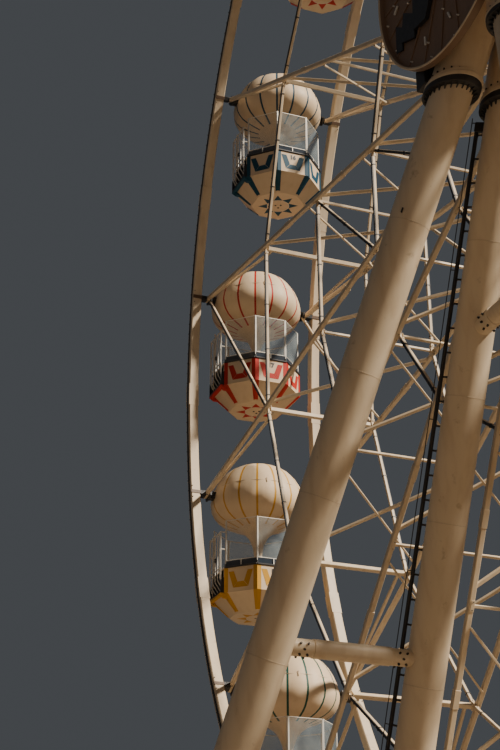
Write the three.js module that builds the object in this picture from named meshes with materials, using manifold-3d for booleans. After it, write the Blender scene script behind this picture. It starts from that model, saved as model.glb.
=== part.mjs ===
// Fairground wheel with hanging balloon cabins, on two A-frames with splayed outer legs.
// Millimetres, Z up, axle along Y, ground at z = 0, origin under the hub on the ground.
import * as THREE from "three";
import Module from "manifold-3d";

const wasm = await Module();
wasm.setup();

// wheel
const hubHeight = 17900;
const wheelRadius = 14800;
const spokeCount = 20;
const firstAngle = 244.1;
const beamY = 1166;
const spokeWidth = 80;
const spokeTip = 90;
const rimDepth = 200;
const rimWidth = 200;
const rimFace = 1521.3;
const rimSides = 60;
const seat = 0.3;
const outerRing = 11396;
const strutRing = 8776;
const midRing = 6394;
const innerRing = 3996;
const chordWidth = 52;
const chordFace = 1125.7;
const drumRadius = 700;
const flangeApothem = 1100;
const flangeThickness = 120;
const shaftRadius = 250;
const collarRadius = 380;
const collarEnd = 1749.7;
const shaftEnd = 3020;
const dishRadius = 1900;
const dishDepth = 130;
const dishPlate = 40;
const stiffSpokes = [2, 7, 12, 17];
const tieSize = 46;
const outerTieSize = 80;
const tieReach = 1100;
const latticeInset = 260;

// cabin, measured from its own axle
const stubRadius = 45;
const stubReach = 1125.7;
const tubCorner = 950;
const tubFootCorner = 590;
const tubBottom = -2520;
const tubKnee = -2180;
const tubWall = 42;
const windowTop = -630;
const tubRim = -1640;
const canopyProfile = [
  [0, 770], [455, 690], [780, 430], [952, 160], [1000, -90], [935, -300], [760, -480], [400, -650],
  [190, -850], [85, -1200], [85, -2490], [0, -2490],
];
const canopySides = 10;
const gateFace = -960;
const gateTop = -865;
const gateHalf = 355;
const sillTop = -1950;
const sillBottom = -2180;

// support
const legSides = 14;
const legLean = 0.41;
const innerLeg = { y0: 1830, lean: 0.017, radius: 263 };
const outerLeg = { y0: 2251.5, lean: 0.2156, radius: 272 };
const headDrop = 1950;
const headRadius = 320;
const headTop = 150;
const flangeDisc = { radius: 360, thickness: 100 };
const footHalf = 550;
const footThickness = 60;
const axialTubeHeight = 9130;
const axialTubeRadius = 122;
const spigotRadius = 112;
const spigotLength = 270;
const tieTubeHeight = 13090;
const tieTubeRadius = 120;
const boreRadius = 258;

function toSolid(points, faces) {
  const mesh = new wasm.Mesh({
    numProp: 3, vertProperties: new Float32Array(points.flat()), triVerts: new Uint32Array(faces.flat()),
  });
  return new wasm.Manifold(mesh);
}

function signedVolume(points, faces) {
  let sum = 0;
  for (const [a, b, c] of faces) {
    const [p, q, r] = [points[a], points[b], points[c]];
    sum += p[0] * (q[1] * r[2] - q[2] * r[1]) - p[1] * (q[0] * r[2] - q[2] * r[0])
      + p[2] * (q[0] * r[1] - q[1] * r[0]);
  }
  return sum;
}

function facedOut(points, faces) {
  return toSolid(points, signedVolume(points, faces) < 0 ? faces.map(([a, b, c]) => [a, c, b]) : faces);
}

// A closed solid through rings of equal point count; closed = true joins the last ring to the first.
function loft(rings, closed = false) {
  const n = rings[0].length;
  const faces = [];
  const last = closed ? rings.length : rings.length - 1;
  for (let i = 0; i < last; i++) {
    const near = i * n;
    const far = ((i + 1) % rings.length) * n;
    for (let k = 0; k < n; k++) {
      const m = (k + 1) % n;
      faces.push([near + k, near + m, far + m], [near + k, far + m, far + k]);
    }
  }
  if (!closed) {
    const top = (rings.length - 1) * n;
    for (let k = 1; k < n - 1; k++) faces.push([0, k + 1, k], [top, top + k, top + k + 1]);
  }
  return facedOut(rings.flat(), faces);
}

function box(x0, x1, y0, y1, z0, z1) {
  const ring = (z) => [[x0, y0, z], [x1, y0, z], [x1, y1, z], [x0, y1, z]];
  return loft([ring(z0), ring(z1)]);
}

// Round bar between two points.
function tube(from, to, radius, sides, turn = 0) {
  const start = new THREE.Vector3(...from);
  const end = new THREE.Vector3(...to);
  const along = end.clone().sub(start).normalize();
  const hint = Math.abs(along.z) > 0.9 ? new THREE.Vector3(1, 0, 0) : new THREE.Vector3(0, 0, 1);
  const side = new THREE.Vector3().crossVectors(hint, along).normalize();
  const up = new THREE.Vector3().crossVectors(along, side);
  const ring = (centre) => Array.from({ length: sides }, (_, k) => {
    const t = turn + (2 * Math.PI * k) / sides;
    return centre.clone().addScaledVector(side, radius * Math.cos(t))
      .addScaledVector(up, radius * Math.sin(t)).toArray();
  });
  return loft([ring(start), ring(end)]);
}

// Flat bar in a plane: the section is depth in that plane by width across it.
function flatBar(from, to, depth, across, width) {
  const start = new THREE.Vector3(...from);
  const end = new THREE.Vector3(...to);
  const normal = new THREE.Vector3(...across);
  const side = new THREE.Vector3().crossVectors(end.clone().sub(start).normalize(), normal).normalize();
  const ring = (centre) => [[-1, -1], [1, -1], [1, 1], [-1, 1]].map(([a, b]) => centre.clone()
    .addScaledVector(side, (a * depth) / 2).addScaledVector(normal, (b * width) / 2).toArray());
  return loft([ring(start), ring(end)]);
}

// Ring about the Y axis with a rectangular section, its corners at turn + k * step.
function hoop(inner, outer, y0, y1, sides, turn) {
  const rings = Array.from({ length: sides }, (_, k) => {
    const t = turn + (2 * Math.PI * k) / sides;
    return [[inner, y0], [outer, y0], [outer, y1], [inner, y1]]
      .map(([r, y]) => [r * Math.cos(t), y, r * Math.sin(t)]);
  });
  return loft(rings, true);
}

function drum(radius, y0, y1, sides, turn = 0) {
  const ring = (y) => Array.from({ length: sides }, (_, k) => {
    const t = turn + (2 * Math.PI * k) / sides;
    return [radius * Math.cos(t), y, radius * Math.sin(t)];
  });
  return loft([ring(y0), ring(y1)]);
}

// Solid of revolution about the Z axis; the profile starts and ends on the axis.
function turned(profile, sides, turn = 0) {
  const points = [];
  const faces = [];
  const rows = profile.slice(1, -1).map(([r, z]) => Array.from({ length: sides }, (_, k) => {
    const t = turn + (2 * Math.PI * k) / sides;
    return points.push([r * Math.cos(t), r * Math.sin(t), z]) - 1;
  }));
  const first = points.push([0, 0, profile[0][1]]) - 1;
  const final = points.push([0, 0, profile[profile.length - 1][1]]) - 1;
  for (let k = 0; k < sides; k++) {
    const m = (k + 1) % sides;
    for (let i = 0; i < rows.length - 1; i++) {
      faces.push([rows[i][k], rows[i][m], rows[i + 1][m]], [rows[i][k], rows[i + 1][m], rows[i + 1][k]]);
    }
    faces.push([first, rows[0][m], rows[0][k]]);
    faces.push([final, rows[rows.length - 1][k], rows[rows.length - 1][m]]);
  }
  return facedOut(points, faces);
}

const join = (solids) => solids.reduce((a, b) => a.add(b));

const materials = {};
function material(name, color) {
  materials[name] ??= new THREE.MeshStandardMaterial({ color });
  materials[name].name = name;
  return materials[name];
}
const cream = material("cream_paint", 0xd9cdb0);
const dark = material("dark_steel", 0x2b2c2e);
const shell = material("cabin_shell", 0xe0d6be);

const group = new THREE.Group();
group.name = "ferris_wheel";

function addPiece(name, solid, look, matrix) {
  const mesh = solid.getMesh();
  const geometry = new THREE.BufferGeometry();
  geometry.setAttribute("position", new THREE.BufferAttribute(new Float32Array(mesh.vertProperties), 3));
  geometry.setIndex(new THREE.BufferAttribute(new Uint32Array(mesh.triVerts), 1));
  if (matrix) geometry.applyMatrix4(matrix);
  geometry.computeVertexNormals();
  const piece = new THREE.Mesh(geometry, look);
  piece.name = name;
  group.add(piece);
}

const degrees = Math.PI / 180;
const step = 360 / spokeCount;
const atHub = new THREE.Matrix4().makeTranslation(0, 0, hubHeight);
// Turns +X towards +Z by the given angle, about the hub.
function wheelMatrix(angle) {
  return atHub.clone().multiply(new THREE.Matrix4().makeRotationY(-angle * degrees));
}
const polar = (r, angle, y) => [r * Math.cos(angle * degrees), y, r * Math.sin(angle * degrees)];
const label = (k) => String(k).padStart(2, "0");
const spokeAngle = (k) => firstAngle + step * (k - 1);

// Spokes: two beams, the lattice between them, a knee from each beam to the outer ring's tie
// and a clamp block from each beam's tip to its rim. A spoke that the stiffened bays don't reach
// has a strut of its own between the beams.
const beamInner = beamY - spokeWidth / 2;
const laceSize = 55;
const kneeSize = 50;
const rimNear = rimFace - rimWidth;
function spokeSolid(ownStrut) {
  const start = flangeApothem + seat;
  const end = wheelRadius + spokeTip;
  const half = spokeWidth / 2;
  const parts = [-1, 1].map((s) => box(start, end, s * beamY - half, s * beamY + half, -half, half));
  const lace = (r0, r1, s) => flatBar([r0 - latticeInset, s * (beamInner + 20), 0],
    [r1 + latticeInset, -s * (beamInner + 20), 0], laceSize, [0, 0, 1], laceSize);
  parts.push(lace(outerRing, strutRing, -1), lace(strutRing, midRing, -1), lace(midRing, innerRing, -1));
  for (const s of [-1, 1]) {
    parts.push(flatBar([wheelRadius - 200, s * (beamInner + 10), 0], [outerRing + outerTieSize / 2 - 20, s * 943, 0],
      kneeSize, [0, 0, 1], kneeSize));
  }
  for (const s of [-1, 1]) {
    const ends = [s * (beamY + half - 20), s * (rimNear - seat)];
    parts.push(box(wheelRadius - 85, wheelRadius + 65, Math.min(...ends), Math.max(...ends), -55, 55));
  }
  if (ownStrut) {
    parts.push(box(strutRing - tieSize / 2, strutRing + tieSize / 2, -beamY, beamY, -tieSize / 2, tieSize / 2));
  }
  const tieHalf = outerTieSize / 2 + seat;
  return join(parts).subtract(box(outerRing - tieHalf, outerRing + tieHalf, -1040, 1040, -90, 90));
}
const plainSpoke = spokeSolid(true);
const stiffSpoke = spokeSolid(false);
const isStiff = (k) => stiffSpokes.some((b) => k >= b && k <= b + 2);
for (let k = 1; k <= spokeCount; k++) {
  addPiece(`spoke_${label(k)}`, isStiff(k) ? stiffSpoke : plainSpoke, cream, wheelMatrix(spokeAngle(k)));
}

// Rims held off the spoke tips by their clamps.
const rimTurn = spokeAngle(1) * degrees;
const rimInner = wheelRadius - rimDepth / 2;
for (const [name, s] of [["rim_left", -1], ["rim_right", 1]]) {
  const ends = [s * rimNear, s * rimFace];
  const ring = hoop(rimInner, rimInner + rimDepth, Math.min(...ends), Math.max(...ends), rimSides, rimTurn);
  addPiece(name, ring, cream, atHub);
}

// Ring cages: two chord polygons joined by ties. Four pairs of bays are stiffened with struts between
// the outer and the middle ring, and the first bay of each pair with diagonals.
const braceDepth = 55;
const braceThickness = 45;
function chordRing(radius, s, grow = 0) {
  const half = chordWidth / 2 + grow;
  const inner = s * (chordFace - chordWidth - grow);
  const outer = s * (chordFace + grow);
  return hoop(radius - half, radius + half, Math.min(inner, outer), Math.max(inner, outer), spokeCount,
    spokeAngle(1) * degrees);
}
const bothRings = (radius, grow) => [-1, 1].map((s) => chordRing(radius, s, grow));
const tieBar = (radius, k, size) => box(radius - size / 2, radius + size / 2, -tieReach, tieReach, -size / 2, size / 2)
  .rotate([0, -spokeAngle(k), 0]);
// A bar on each side across the bay from spoke k to the next.
function bayBars(k, fromRadius, toRadius, depth, thickness) {
  return [-1, 1].map((s) => {
    const y = s * (chordFace - thickness / 2);
    const from = new THREE.Vector3(...polar(fromRadius, spokeAngle(k), y));
    const to = new THREE.Vector3(...polar(toRadius, spokeAngle(k + 1), y));
    if (fromRadius === wheelRadius) from.addScaledVector(to.clone().sub(from).normalize(), 62);
    return flatBar(from.toArray(), to.toArray(), depth, [0, 1, 0], thickness);
  });
}
const braces = (from, to) => stiffSpokes.flatMap((k) => bayBars(k, from, to, braceDepth, braceThickness));
const struts = stiffSpokes.flatMap((k) => [
  ...[0, 1].flatMap((next) => bayBars(k + next, strutRing, strutRing, chordWidth, chordWidth)),
  ...[0, 1, 2].map((next) => tieBar(strutRing, k + next, tieSize)),
]);
const spokeNumbers = Array.from({ length: spokeCount }, (_, k) => k + 1);
const ties = (radius, size, every = 1) => spokeNumbers.filter((k) => (k - 1) % every === 0)
  .map((k) => tieBar(radius, k, size));
const outerCage = [...bothRings(outerRing), ...ties(outerRing, outerTieSize), ...braces(wheelRadius, outerRing)];
const midCage = [...bothRings(midRing), ...ties(midRing, tieSize), ...struts,
  ...braces(strutRing, midRing), ...braces(midRing, innerRing)];
const innerCage = [...bothRings(innerRing), ...ties(innerRing, tieSize, 2)];
addPiece("ring_outer", join(outerCage), cream, atHub);
const innerSeat = join([...bothRings(innerRing, seat), ...ties(innerRing, tieSize + 2 * seat, 2)]);
addPiece("ring_mid", join(midCage).subtract(innerSeat), cream, atHub);
addPiece("ring_inner", join(innerCage), cream, atHub);

// Hub: shaft, drum and the two flanges that carry the spokes, with a flat facing every spoke.
const flangeRadius = flangeApothem / Math.cos(Math.PI / spokeCount);
const flangeTurn = (spokeAngle(1) + step / 2) * degrees;
const hub = join([
  drum(collarRadius, -collarEnd, collarEnd, spokeCount),
  drum(shaftRadius, -shaftEnd, shaftEnd, 24),
  drum(drumRadius, -beamY - 80, beamY + 80, spokeCount, flangeTurn),
  ...[-1, 1].map((s) => drum(flangeRadius, s * beamY - flangeThickness / 2, s * beamY + flangeThickness / 2,
    spokeCount, flangeTurn)),
]);
addPiece("hub_drum", hub, cream, atHub);

// Round dishes on the two shaft ends, open outwards.
for (const [name, s] of [["dish_left", -1], ["dish_right", 1]]) {
  const back = s * (shaftEnd + seat);
  const front = s * (shaftEnd + seat + dishDepth);
  const plateFront = s * (shaftEnd + seat + dishPlate);
  const body = drum(dishRadius, Math.min(back, front), Math.max(back, front), 36);
  const hollow = drum(dishRadius - 60, Math.min(plateFront, s * 3300), Math.max(plateFront, s * 3300), 36);
  addPiece(name, body.subtract(hollow), cream, atHub);
}

// Cabins: octagonal tub with glazed upper faces, gate on the -Y face, canopy on a central pole.
function cabinSolid() {
  const wallTop = tubCorner - 26;
  const tub = turned([
    [0, tubBottom], [tubFootCorner, tubBottom], [tubCorner, tubKnee], [tubCorner, windowTop],
    [wallTop, windowTop], [tubCorner - tubWall, tubKnee - 16], [tubFootCorner - 16, tubBottom + tubWall],
    [0, tubBottom + tubWall],
  ], 8, Math.PI / 8);
  const doorway = box(-340, 340, -1000, -700, tubRim, -500);
  const face = -tubCorner * Math.cos(Math.PI / 8);
  const gate = [
    box(-gateHalf, gateHalf, gateFace, gateFace + 34, gateTop - 40, gateTop),
    box(-gateHalf, gateHalf, gateFace, face + 10, sillBottom, sillTop),
    ...[-1, 1].map((s) => box(s * 340 - 15, s * 340 + 15, gateFace, face + 8, sillTop - 10, gateTop - 20)),
    ...[-115, 115].map((x) => box(x - 15, x + 15, gateFace, gateFace + 30, sillTop - 10, gateTop - 20)),
  ];
  const canopy = turned(canopyProfile, canopySides, Math.PI / canopySides);
  const axle = tube([0, -stubReach, 0], [0, stubReach, 0], stubRadius, 8, Math.PI / 8);
  return join([tub.subtract(doorway), ...gate, canopy, axle]);
}
const cabin = cabinSolid();
for (let k = 1; k <= spokeCount; k++) {
  const [x, , z] = polar(wheelRadius, spokeAngle(k), 0);
  addPiece(`cabin_${label(k)}`, cabin, shell, new THREE.Matrix4().makeTranslation(x, 0, z + hubHeight));
}

// Round bar along a leg's leaning axis with level ends; drops are measured down from the hub height.
function legPoint(sx, s, leg, drop) {
  return new THREE.Vector3(sx * legLean * drop, s * (leg.y0 + leg.lean * drop), hubHeight - drop);
}
function legBar(sx, s, leg, fromDrop, toDrop, radius = leg.radius) {
  const top = legPoint(sx, s, leg, fromDrop);
  const foot = legPoint(sx, s, leg, toDrop);
  const along = foot.clone().sub(top).normalize();
  const side = new THREE.Vector3().crossVectors(new THREE.Vector3(0, 1, 0), along).normalize();
  const up = new THREE.Vector3().crossVectors(along, side);
  const ring = (centre) => Array.from({ length: legSides }, (_, k) => {
    const t = (2 * Math.PI * k) / legSides;
    const p = centre.clone().addScaledVector(side, radius * Math.cos(t)).addScaledVector(up, radius * Math.sin(t));
    return p.addScaledVector(along, (centre.z - p.z) / along.z).toArray();
  });
  return loft([ring(top), ring(foot)]);
}
function legSolid(sx, s, leg) {
  const start = headDrop + seat;
  const foot = legPoint(sx, s, leg, hubHeight);
  return join([
    legBar(sx, s, leg, start, hubHeight - footThickness / 2),
    legBar(sx, s, leg, start, start + flangeDisc.thickness, flangeDisc.radius),
    box(foot.x - footHalf, foot.x + footHalf, foot.y - footHalf, foot.y + footHalf, 0, footThickness),
  ]);
}

for (const [sideName, s] of [["left", -1], ["right", 1]]) {
  const tieX = legLean * (hubHeight - tieTubeHeight);
  const tieY = s * (innerLeg.y0 + innerLeg.lean * (hubHeight - tieTubeHeight));
  addPiece(`a_frame_${sideName}`, join([
    ...[-1, 1].map((sx) => legSolid(sx, s, innerLeg)),
    tube([-tieX, tieY, tieTubeHeight], [tieX, tieY, tieTubeHeight], tieTubeRadius, 12),
  ]), cream);
  for (const [endName, sx] of [["rear", -1], ["front", 1]]) {
    const drop = hubHeight - axialTubeHeight;
    const x = sx * legLean * drop;
    const outerY = outerLeg.y0 + outerLeg.lean * drop;
    const innerY = innerLeg.y0 + innerLeg.lean * drop;
    const level = (y) => [x, s * y, axialTubeHeight];
    const branch = join([
      tube(level(outerY), level(innerY), spigotRadius, 12),
      tube(level(outerY - outerLeg.radius - spigotLength), level(innerY + innerLeg.radius + spigotLength),
        axialTubeRadius, 12),
    ]);
    const clear = legBar(sx, s, innerLeg, drop - 600, drop + 600, innerLeg.radius + seat + 0.2);
    addPiece(`outer_leg_${sideName}_${endName}`, join([legSolid(sx, s, outerLeg), branch.subtract(clear)]), cream);
  }
}

// Bearing heads: a stub up from each leg of the side into a barrel bored for the shaft.
for (const [name, s] of [["bearing_left", -1], ["bearing_right", 1]]) {
  const between = (radius, a, b, sides) => drum(radius, Math.min(s * a, s * b), Math.max(s * a, s * b), sides)
    .translate([0, 0, hubHeight]);
  const parts = [between(500, collarEnd + seat, 2600, 24)];
  for (const sx of [-1, 1]) {
    for (const leg of [innerLeg, outerLeg]) {
      parts.push(legBar(sx, s, leg, headTop, headDrop, headRadius));
      parts.push(legBar(sx, s, leg, headDrop - flangeDisc.thickness, headDrop, flangeDisc.radius));
    }
  }
  addPiece(name, join(parts).subtract(between(boreRadius, 1300, 3200, 24))
    .subtract(between(collarRadius + 10, 1300, collarEnd + seat, spokeCount)), cream);
}

// Ladder track up the rear inner leg of the -Y side, held off it by lugs.
const top = legPoint(-1, -1, innerLeg, 2200);
const foot = legPoint(-1, -1, innerLeg, hubHeight - 900);
const trackReach = 372;
const trackOut = new THREE.Vector3(-0.69, -0.66, 0.28).normalize();
const trackAt = (t, out) => top.clone().lerp(foot, t).addScaledVector(trackOut, out).toArray();
const trackParts = [tube(trackAt(0, trackReach), trackAt(1, trackReach), 36, 4)];
for (let k = 0; k < 7; k++) {
  trackParts.push(tube(trackAt(0.02 + 0.16 * k, 240), trackAt(0.02 + 0.16 * k, trackReach + 8), 22, 4));
}
addPiece("ladder_track", join(trackParts)
  .subtract(legBar(-1, -1, innerLeg, 1800, hubHeight, innerLeg.radius + seat)), dark);

export default group;
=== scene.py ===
import math

import bmesh
import bpy
from mathutils import Matrix, Vector


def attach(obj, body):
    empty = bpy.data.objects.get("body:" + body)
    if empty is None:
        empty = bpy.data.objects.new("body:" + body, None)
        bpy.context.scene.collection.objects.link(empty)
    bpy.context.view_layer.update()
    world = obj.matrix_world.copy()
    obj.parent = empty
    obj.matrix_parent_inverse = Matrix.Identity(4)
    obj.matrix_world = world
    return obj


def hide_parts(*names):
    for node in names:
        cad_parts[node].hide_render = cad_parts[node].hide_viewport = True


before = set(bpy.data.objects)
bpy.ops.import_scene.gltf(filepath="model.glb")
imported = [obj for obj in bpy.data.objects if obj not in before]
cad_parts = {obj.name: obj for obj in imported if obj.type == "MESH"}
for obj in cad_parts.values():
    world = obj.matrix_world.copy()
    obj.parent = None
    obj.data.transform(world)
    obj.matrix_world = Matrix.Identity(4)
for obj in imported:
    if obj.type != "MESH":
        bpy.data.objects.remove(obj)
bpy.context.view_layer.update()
print("frame loaded")

wheel = {
    "hubHeight": 17.9, "radius": 14.8, "beamY": 1.166, "spokes": 20, "firstAngle": 244.1,
    "spokeWidth": 0.08, "spokeStart": 1.1003, "spokeTip": 0.09,
    "rings": (11.396, 8.776, 6.394, 3.996), "chord": 0.052, "chordFace": 1.1257,
    "rimDepth": 0.2, "rimWidth": 0.2, "rimFace": 1.5213, "stiff": (2, 7, 12, 17),
}
spokeNumbers = range(1, wheel["spokes"] + 1)
sidesOfWheel = (("left", -1), ("right", 1))
alongY, upward, origin = Vector((0, 1, 0)), Vector((0, 0, 1)), Vector((0, 0, 0))
step = 360 / wheel["spokes"]
atHub = Matrix.Translation((0, 0, wheel["hubHeight"]))


def spokeAngle(k):
    return wheel["firstAngle"] + step * (k - 1)


def turnWheel(angle):
    return atHub @ Matrix.Rotation(-math.radians(angle), 4, "Y")


def polar(r, angle, y=0.0):
    return Vector((r * math.cos(math.radians(angle)), y, r * math.sin(math.radians(angle))))


def flatOut(t):
    return Vector((math.cos(t), math.sin(t), 0))


def mirrored(spot, sx, s):
    return (sx * spot[0], s * spot[1], spot[2])


def polarFlat(r, t, z):
    return Vector((r * math.cos(t), r * math.sin(t), z))


def heading(yaw, pitch):
    yaw, pitch = math.radians(yaw), math.radians(pitch)
    return Vector((math.cos(yaw) * math.cos(pitch), math.sin(yaw) * math.cos(pitch), math.sin(pitch)))


def linkNew(name, data):
    made = bpy.data.objects.new(name, data)
    bpy.context.scene.collection.objects.link(made)
    return made


# the photograph looks up along the wheel from one side
def placeCamera():
    view = {"place": (13.6625, -11.108, 4.1896), "yaw": 158.841, "pitch": 24.876, "lens": 73.34, "clip": 400}
    camera = bpy.data.cameras.new("camera")
    camera.sensor_width = 36
    camera.sensor_fit = "AUTO"
    camera.lens = view["lens"]
    camera.clip_end = view["clip"]
    holder = linkNew("camera", camera)
    holder.location = view["place"]
    holder.rotation_euler = heading(view["yaw"], view["pitch"]).to_track_quat("-Z", "Y").to_euler()
    bpy.context.scene.camera = holder


def placeLight():
    sun = {"energy": 8.0, "colour": (1.0, 0.91, 0.79), "softness": 4, "heading": 50, "height": 42}
    fill = {"energy": 0.1, "colour": (1.0, 0.62, 0.34), "softness": 70, "heading": -60, "height": 8}
    sky = {"colour": (0.78, 0.84, 0.92, 1), "strength": 0.08}
    for name, values in (("sun", sun), ("fill", fill)):
        lamp = bpy.data.lights.new(name, "SUN")
        lamp.energy = values["energy"]
        lamp.color = values["colour"]
        lamp.angle = math.radians(values["softness"])
        toLight = heading(values["heading"], values["height"])
        linkNew(name, lamp).rotation_euler = toLight.to_track_quat("Z", "Y").to_euler()
    world = bpy.data.worlds.new("studio")
    world.use_nodes = True
    background = world.node_tree.nodes["Background"]
    background.inputs["Color"].default_value = sky["colour"]
    background.inputs["Strength"].default_value = sky["strength"]
    bpy.context.scene.world = world


def newLook(name):
    made = bpy.data.materials.new(name)
    made.use_nodes = True
    tree = made.node_tree
    return made, tree, tree.nodes["Principled BSDF"], addNode(tree, "ShaderNodeTexCoord").outputs["Object"]


def addNode(tree, kind, **values):
    made = tree.nodes.new(kind)
    for key, value in values.items():
        label = key.replace("_", " ")
        if label in made.inputs:
            made.inputs[label].default_value = value
        else:
            setattr(made, key, value)
    return made


def noiseOn(tree, vector, **values):
    made = addNode(tree, "ShaderNodeTexNoise", **values)
    tree.links.new(vector, made.inputs["Vector"])
    return made.outputs["Fac"]


def mixColours(tree, factor, first, second):
    made = addNode(tree, "ShaderNodeMix", data_type="RGBA")
    for socket, value in ((made.inputs[0], factor), (made.inputs[6], first), (made.inputs[7], second)):
        if hasattr(value, "is_output"):
            tree.links.new(value, socket)
        else:
            socket.default_value = value
    return made.outputs[2]


def scaleValue(tree, source, factor, offset=0.0):
    made = addNode(tree, "ShaderNodeMath", operation="MULTIPLY_ADD")
    tree.links.new(source, made.inputs[0])
    made.inputs[1].default_value = factor
    made.inputs[2].default_value = offset
    return made.outputs[0]


def band(tree, source, low, high, factor, offset=0.0):
    # what lies between low and high in the source, spread over 0 to factor
    made = addNode(tree, "ShaderNodeMapRange", clamp=True, From_Min=low, From_Max=high)
    tree.links.new(source, made.inputs["Value"])
    return scaleValue(tree, made.outputs["Result"], factor, offset)


def shade(colour, share=1.0):
    return (*[c * share for c in colour], 1)


def paintedSteel(name, colour, stain, look):
    # colour with slow tone drift, upright rain streaks, small stained spots and an orange-peel bump
    made, tree, shader, coords = newLook(name)
    upright = addNode(tree, "ShaderNodeMapping", Scale=(7.0, 7.0, 0.45))
    tree.links.new(coords, upright.inputs["Vector"])
    drift = noiseOn(tree, coords, Scale=0.55, Detail=3.0)
    spots = noiseOn(tree, coords, Scale=look["spotScale"], Detail=8.0, Roughness=0.65)
    peel = noiseOn(tree, coords, Scale=look["peelScale"], Detail=3.0)
    streaks = noiseOn(tree, upright.outputs["Vector"], Scale=1.0, Detail=5.0)
    tone = mixColours(tree, band(tree, drift, 0.3, 0.7, look["drift"]), shade(colour), shade(colour, 0.78))
    washed = mixColours(tree, band(tree, streaks, 0.48, 0.78, look["streak"]), tone, shade(stain))
    marked = mixColours(tree, band(tree, spots, 0.62, 0.74, look["spots"]), washed, shade(stain, 0.6))
    bump = addNode(tree, "ShaderNodeBump", Strength=look["bump"], Distance=0.002)
    tree.links.new(peel, bump.inputs["Height"])
    tree.links.new(marked, shader.inputs["Base Color"])
    tree.links.new(scaleValue(tree, spots, look["roughSpread"], look["rough"]), shader.inputs["Roughness"])
    tree.links.new(bump.outputs["Normal"], shader.inputs["Normal"])
    shader.inputs["Metallic"].default_value = look.get("metal", 0.0)
    shader.inputs["Specular IOR Level"].default_value = look.get("shine", 0.5)
    return made


steelLook = {"spotScale": 5.0, "peelScale": 90.0, "drift": 0.5, "streak": 0.34, "spots": 0.5,
             "rough": 0.36, "roughSpread": 0.22, "bump": 0.25, "shine": 0.35}
shellLook = {"spotScale": 9.0, "peelScale": 120.0, "drift": 0.35, "streak": 0.2, "spots": 0.25,
             "rough": 0.4, "roughSpread": 0.2, "bump": 0.12, "shine": 0.2}
darkLook = {"spotScale": 14.0, "peelScale": 160.0, "drift": 0.3, "streak": 0.3, "spots": 0.4,
            "rough": 0.38, "roughSpread": 0.25, "bump": 0.3}
creamPaint = paintedSteel("creamPaint", (0.68, 0.55, 0.38), (0.36, 0.22, 0.11), steelLook)
blackPaint = paintedSteel("blackPaint", (0.018, 0.018, 0.02), (0.06, 0.05, 0.04), darkLook)
stripBlack = paintedSteel("stripBlack", (0.012, 0.012, 0.014), (0.04, 0.035, 0.03), darkLook)
boltSteel = paintedSteel("boltSteel", (0.05, 0.045, 0.04), (0.12, 0.06, 0.03), {**darkLook, "metal": 0.6})
paleMetal = paintedSteel("paleMetal", (0.72, 0.69, 0.62), (0.4, 0.36, 0.3), {**darkLook, "metal": 0.3})
dishPaint = paintedSteel("dishPaint", (0.20, 0.12, 0.07), (0.11, 0.065, 0.04), darkLook)
# brown of the rim straps, which partly paint the shadow of each spoke tip on the rim
strapShadowBrown = paintedSteel("strapShadowBrown", (0.13, 0.075, 0.04), (0.08, 0.045, 0.025), darkLook)
shellCream = paintedSteel("shellCream", (0.68, 0.53, 0.36), (0.42, 0.27, 0.14), shellLook)
canopyCream = paintedSteel("canopyCream", (0.70, 0.54, 0.36), (0.46, 0.29, 0.15), shellLook)
weldSteel = paintedSteel("weldSteel", (0.60, 0.48, 0.33), (0.32, 0.19, 0.1), {**steelLook, "spotScale": 40.0})
accents = {
    "red": paintedSteel("trimRed", (0.46, 0.026, 0.015), (0.2, 0.015, 0.012), shellLook),
    "blue": paintedSteel("trimBlue", (0.010, 0.062, 0.105), (0.006, 0.02, 0.032), shellLook),
    "yellow": paintedSteel("trimYellow", (0.56, 0.29, 0.025), (0.32, 0.13, 0.015), shellLook),
    "green": paintedSteel("trimGreen", (0.012, 0.08, 0.062), (0.006, 0.026, 0.02), shellLook),
}
accentOrder = ["red", "blue", "red", "yellow", "green"]


def clearPanel():
    made, tree, shader, coords = newLook("clearPanel")
    smear = noiseOn(tree, coords, Scale=3.0, Detail=5.0)
    shader.inputs["Base Color"].default_value = (0.62, 0.72, 0.74, 1)
    tree.links.new(band(tree, smear, 0.35, 0.75, 0.10, 0.05), shader.inputs["Alpha"])
    tree.links.new(scaleValue(tree, smear, 0.2, 0.02), shader.inputs["Roughness"])
    shader.inputs["Coat Weight"].default_value = 0.5
    return made


def mottled(name, source, pattern, dark, light, rough):
    # the two tones of a lamp lens or smoked panel, over a pattern in the piece's own space
    made, tree, shader, coords = newLook(name)
    texture = addNode(tree, source, **pattern)
    tree.links.new(coords, texture.inputs["Vector"])
    if source == "ShaderNodeTexVoronoi":
        factor = scaleValue(tree, texture.outputs["Distance"], 0.8)
    else:
        factor = texture.outputs["Fac"]
    tree.links.new(mixColours(tree, factor, (*dark, 1), (*light, 1)), shader.inputs["Base Color"])
    shader.inputs["Roughness"].default_value = rough
    return made


glassPanel = clearPanel()
smokedPanel = mottled("smokedPanel", "ShaderNodeTexNoise", {"Scale": 5.0, "Detail": 4.0},
                      (0.02, 0.03, 0.045), (0.05, 0.06, 0.075), 0.16)
lampGlass = mottled("lampLens", "ShaderNodeTexVoronoi", {"Scale": 60.0},
                    (0.05, 0.05, 0.052), (0.16, 0.15, 0.14), 0.18)
print("materials made")


def loft(bm, rings, look=0, closed=False):
    rows = [[bm.verts.new(point) for point in ring] for ring in rings]
    pairs = list(zip(rows, rows[1:]))
    if closed:
        pairs.append((rows[-1], rows[0]))
    made = []
    for near, far in pairs:
        for k in range(len(near)):
            m = (k + 1) % len(near)
            made.append(bm.faces.new((near[k], near[m], far[m], far[k])))
    if not closed:
        made.append(bm.faces.new(list(reversed(rows[0]))))
        made.append(bm.faces.new(rows[-1]))
    for face in made:
        face.material_index = look
    return made


def slab(bm, under, over, look):
    # closed slab from two matching outlines
    return loft(bm, [under, over], look)


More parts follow.
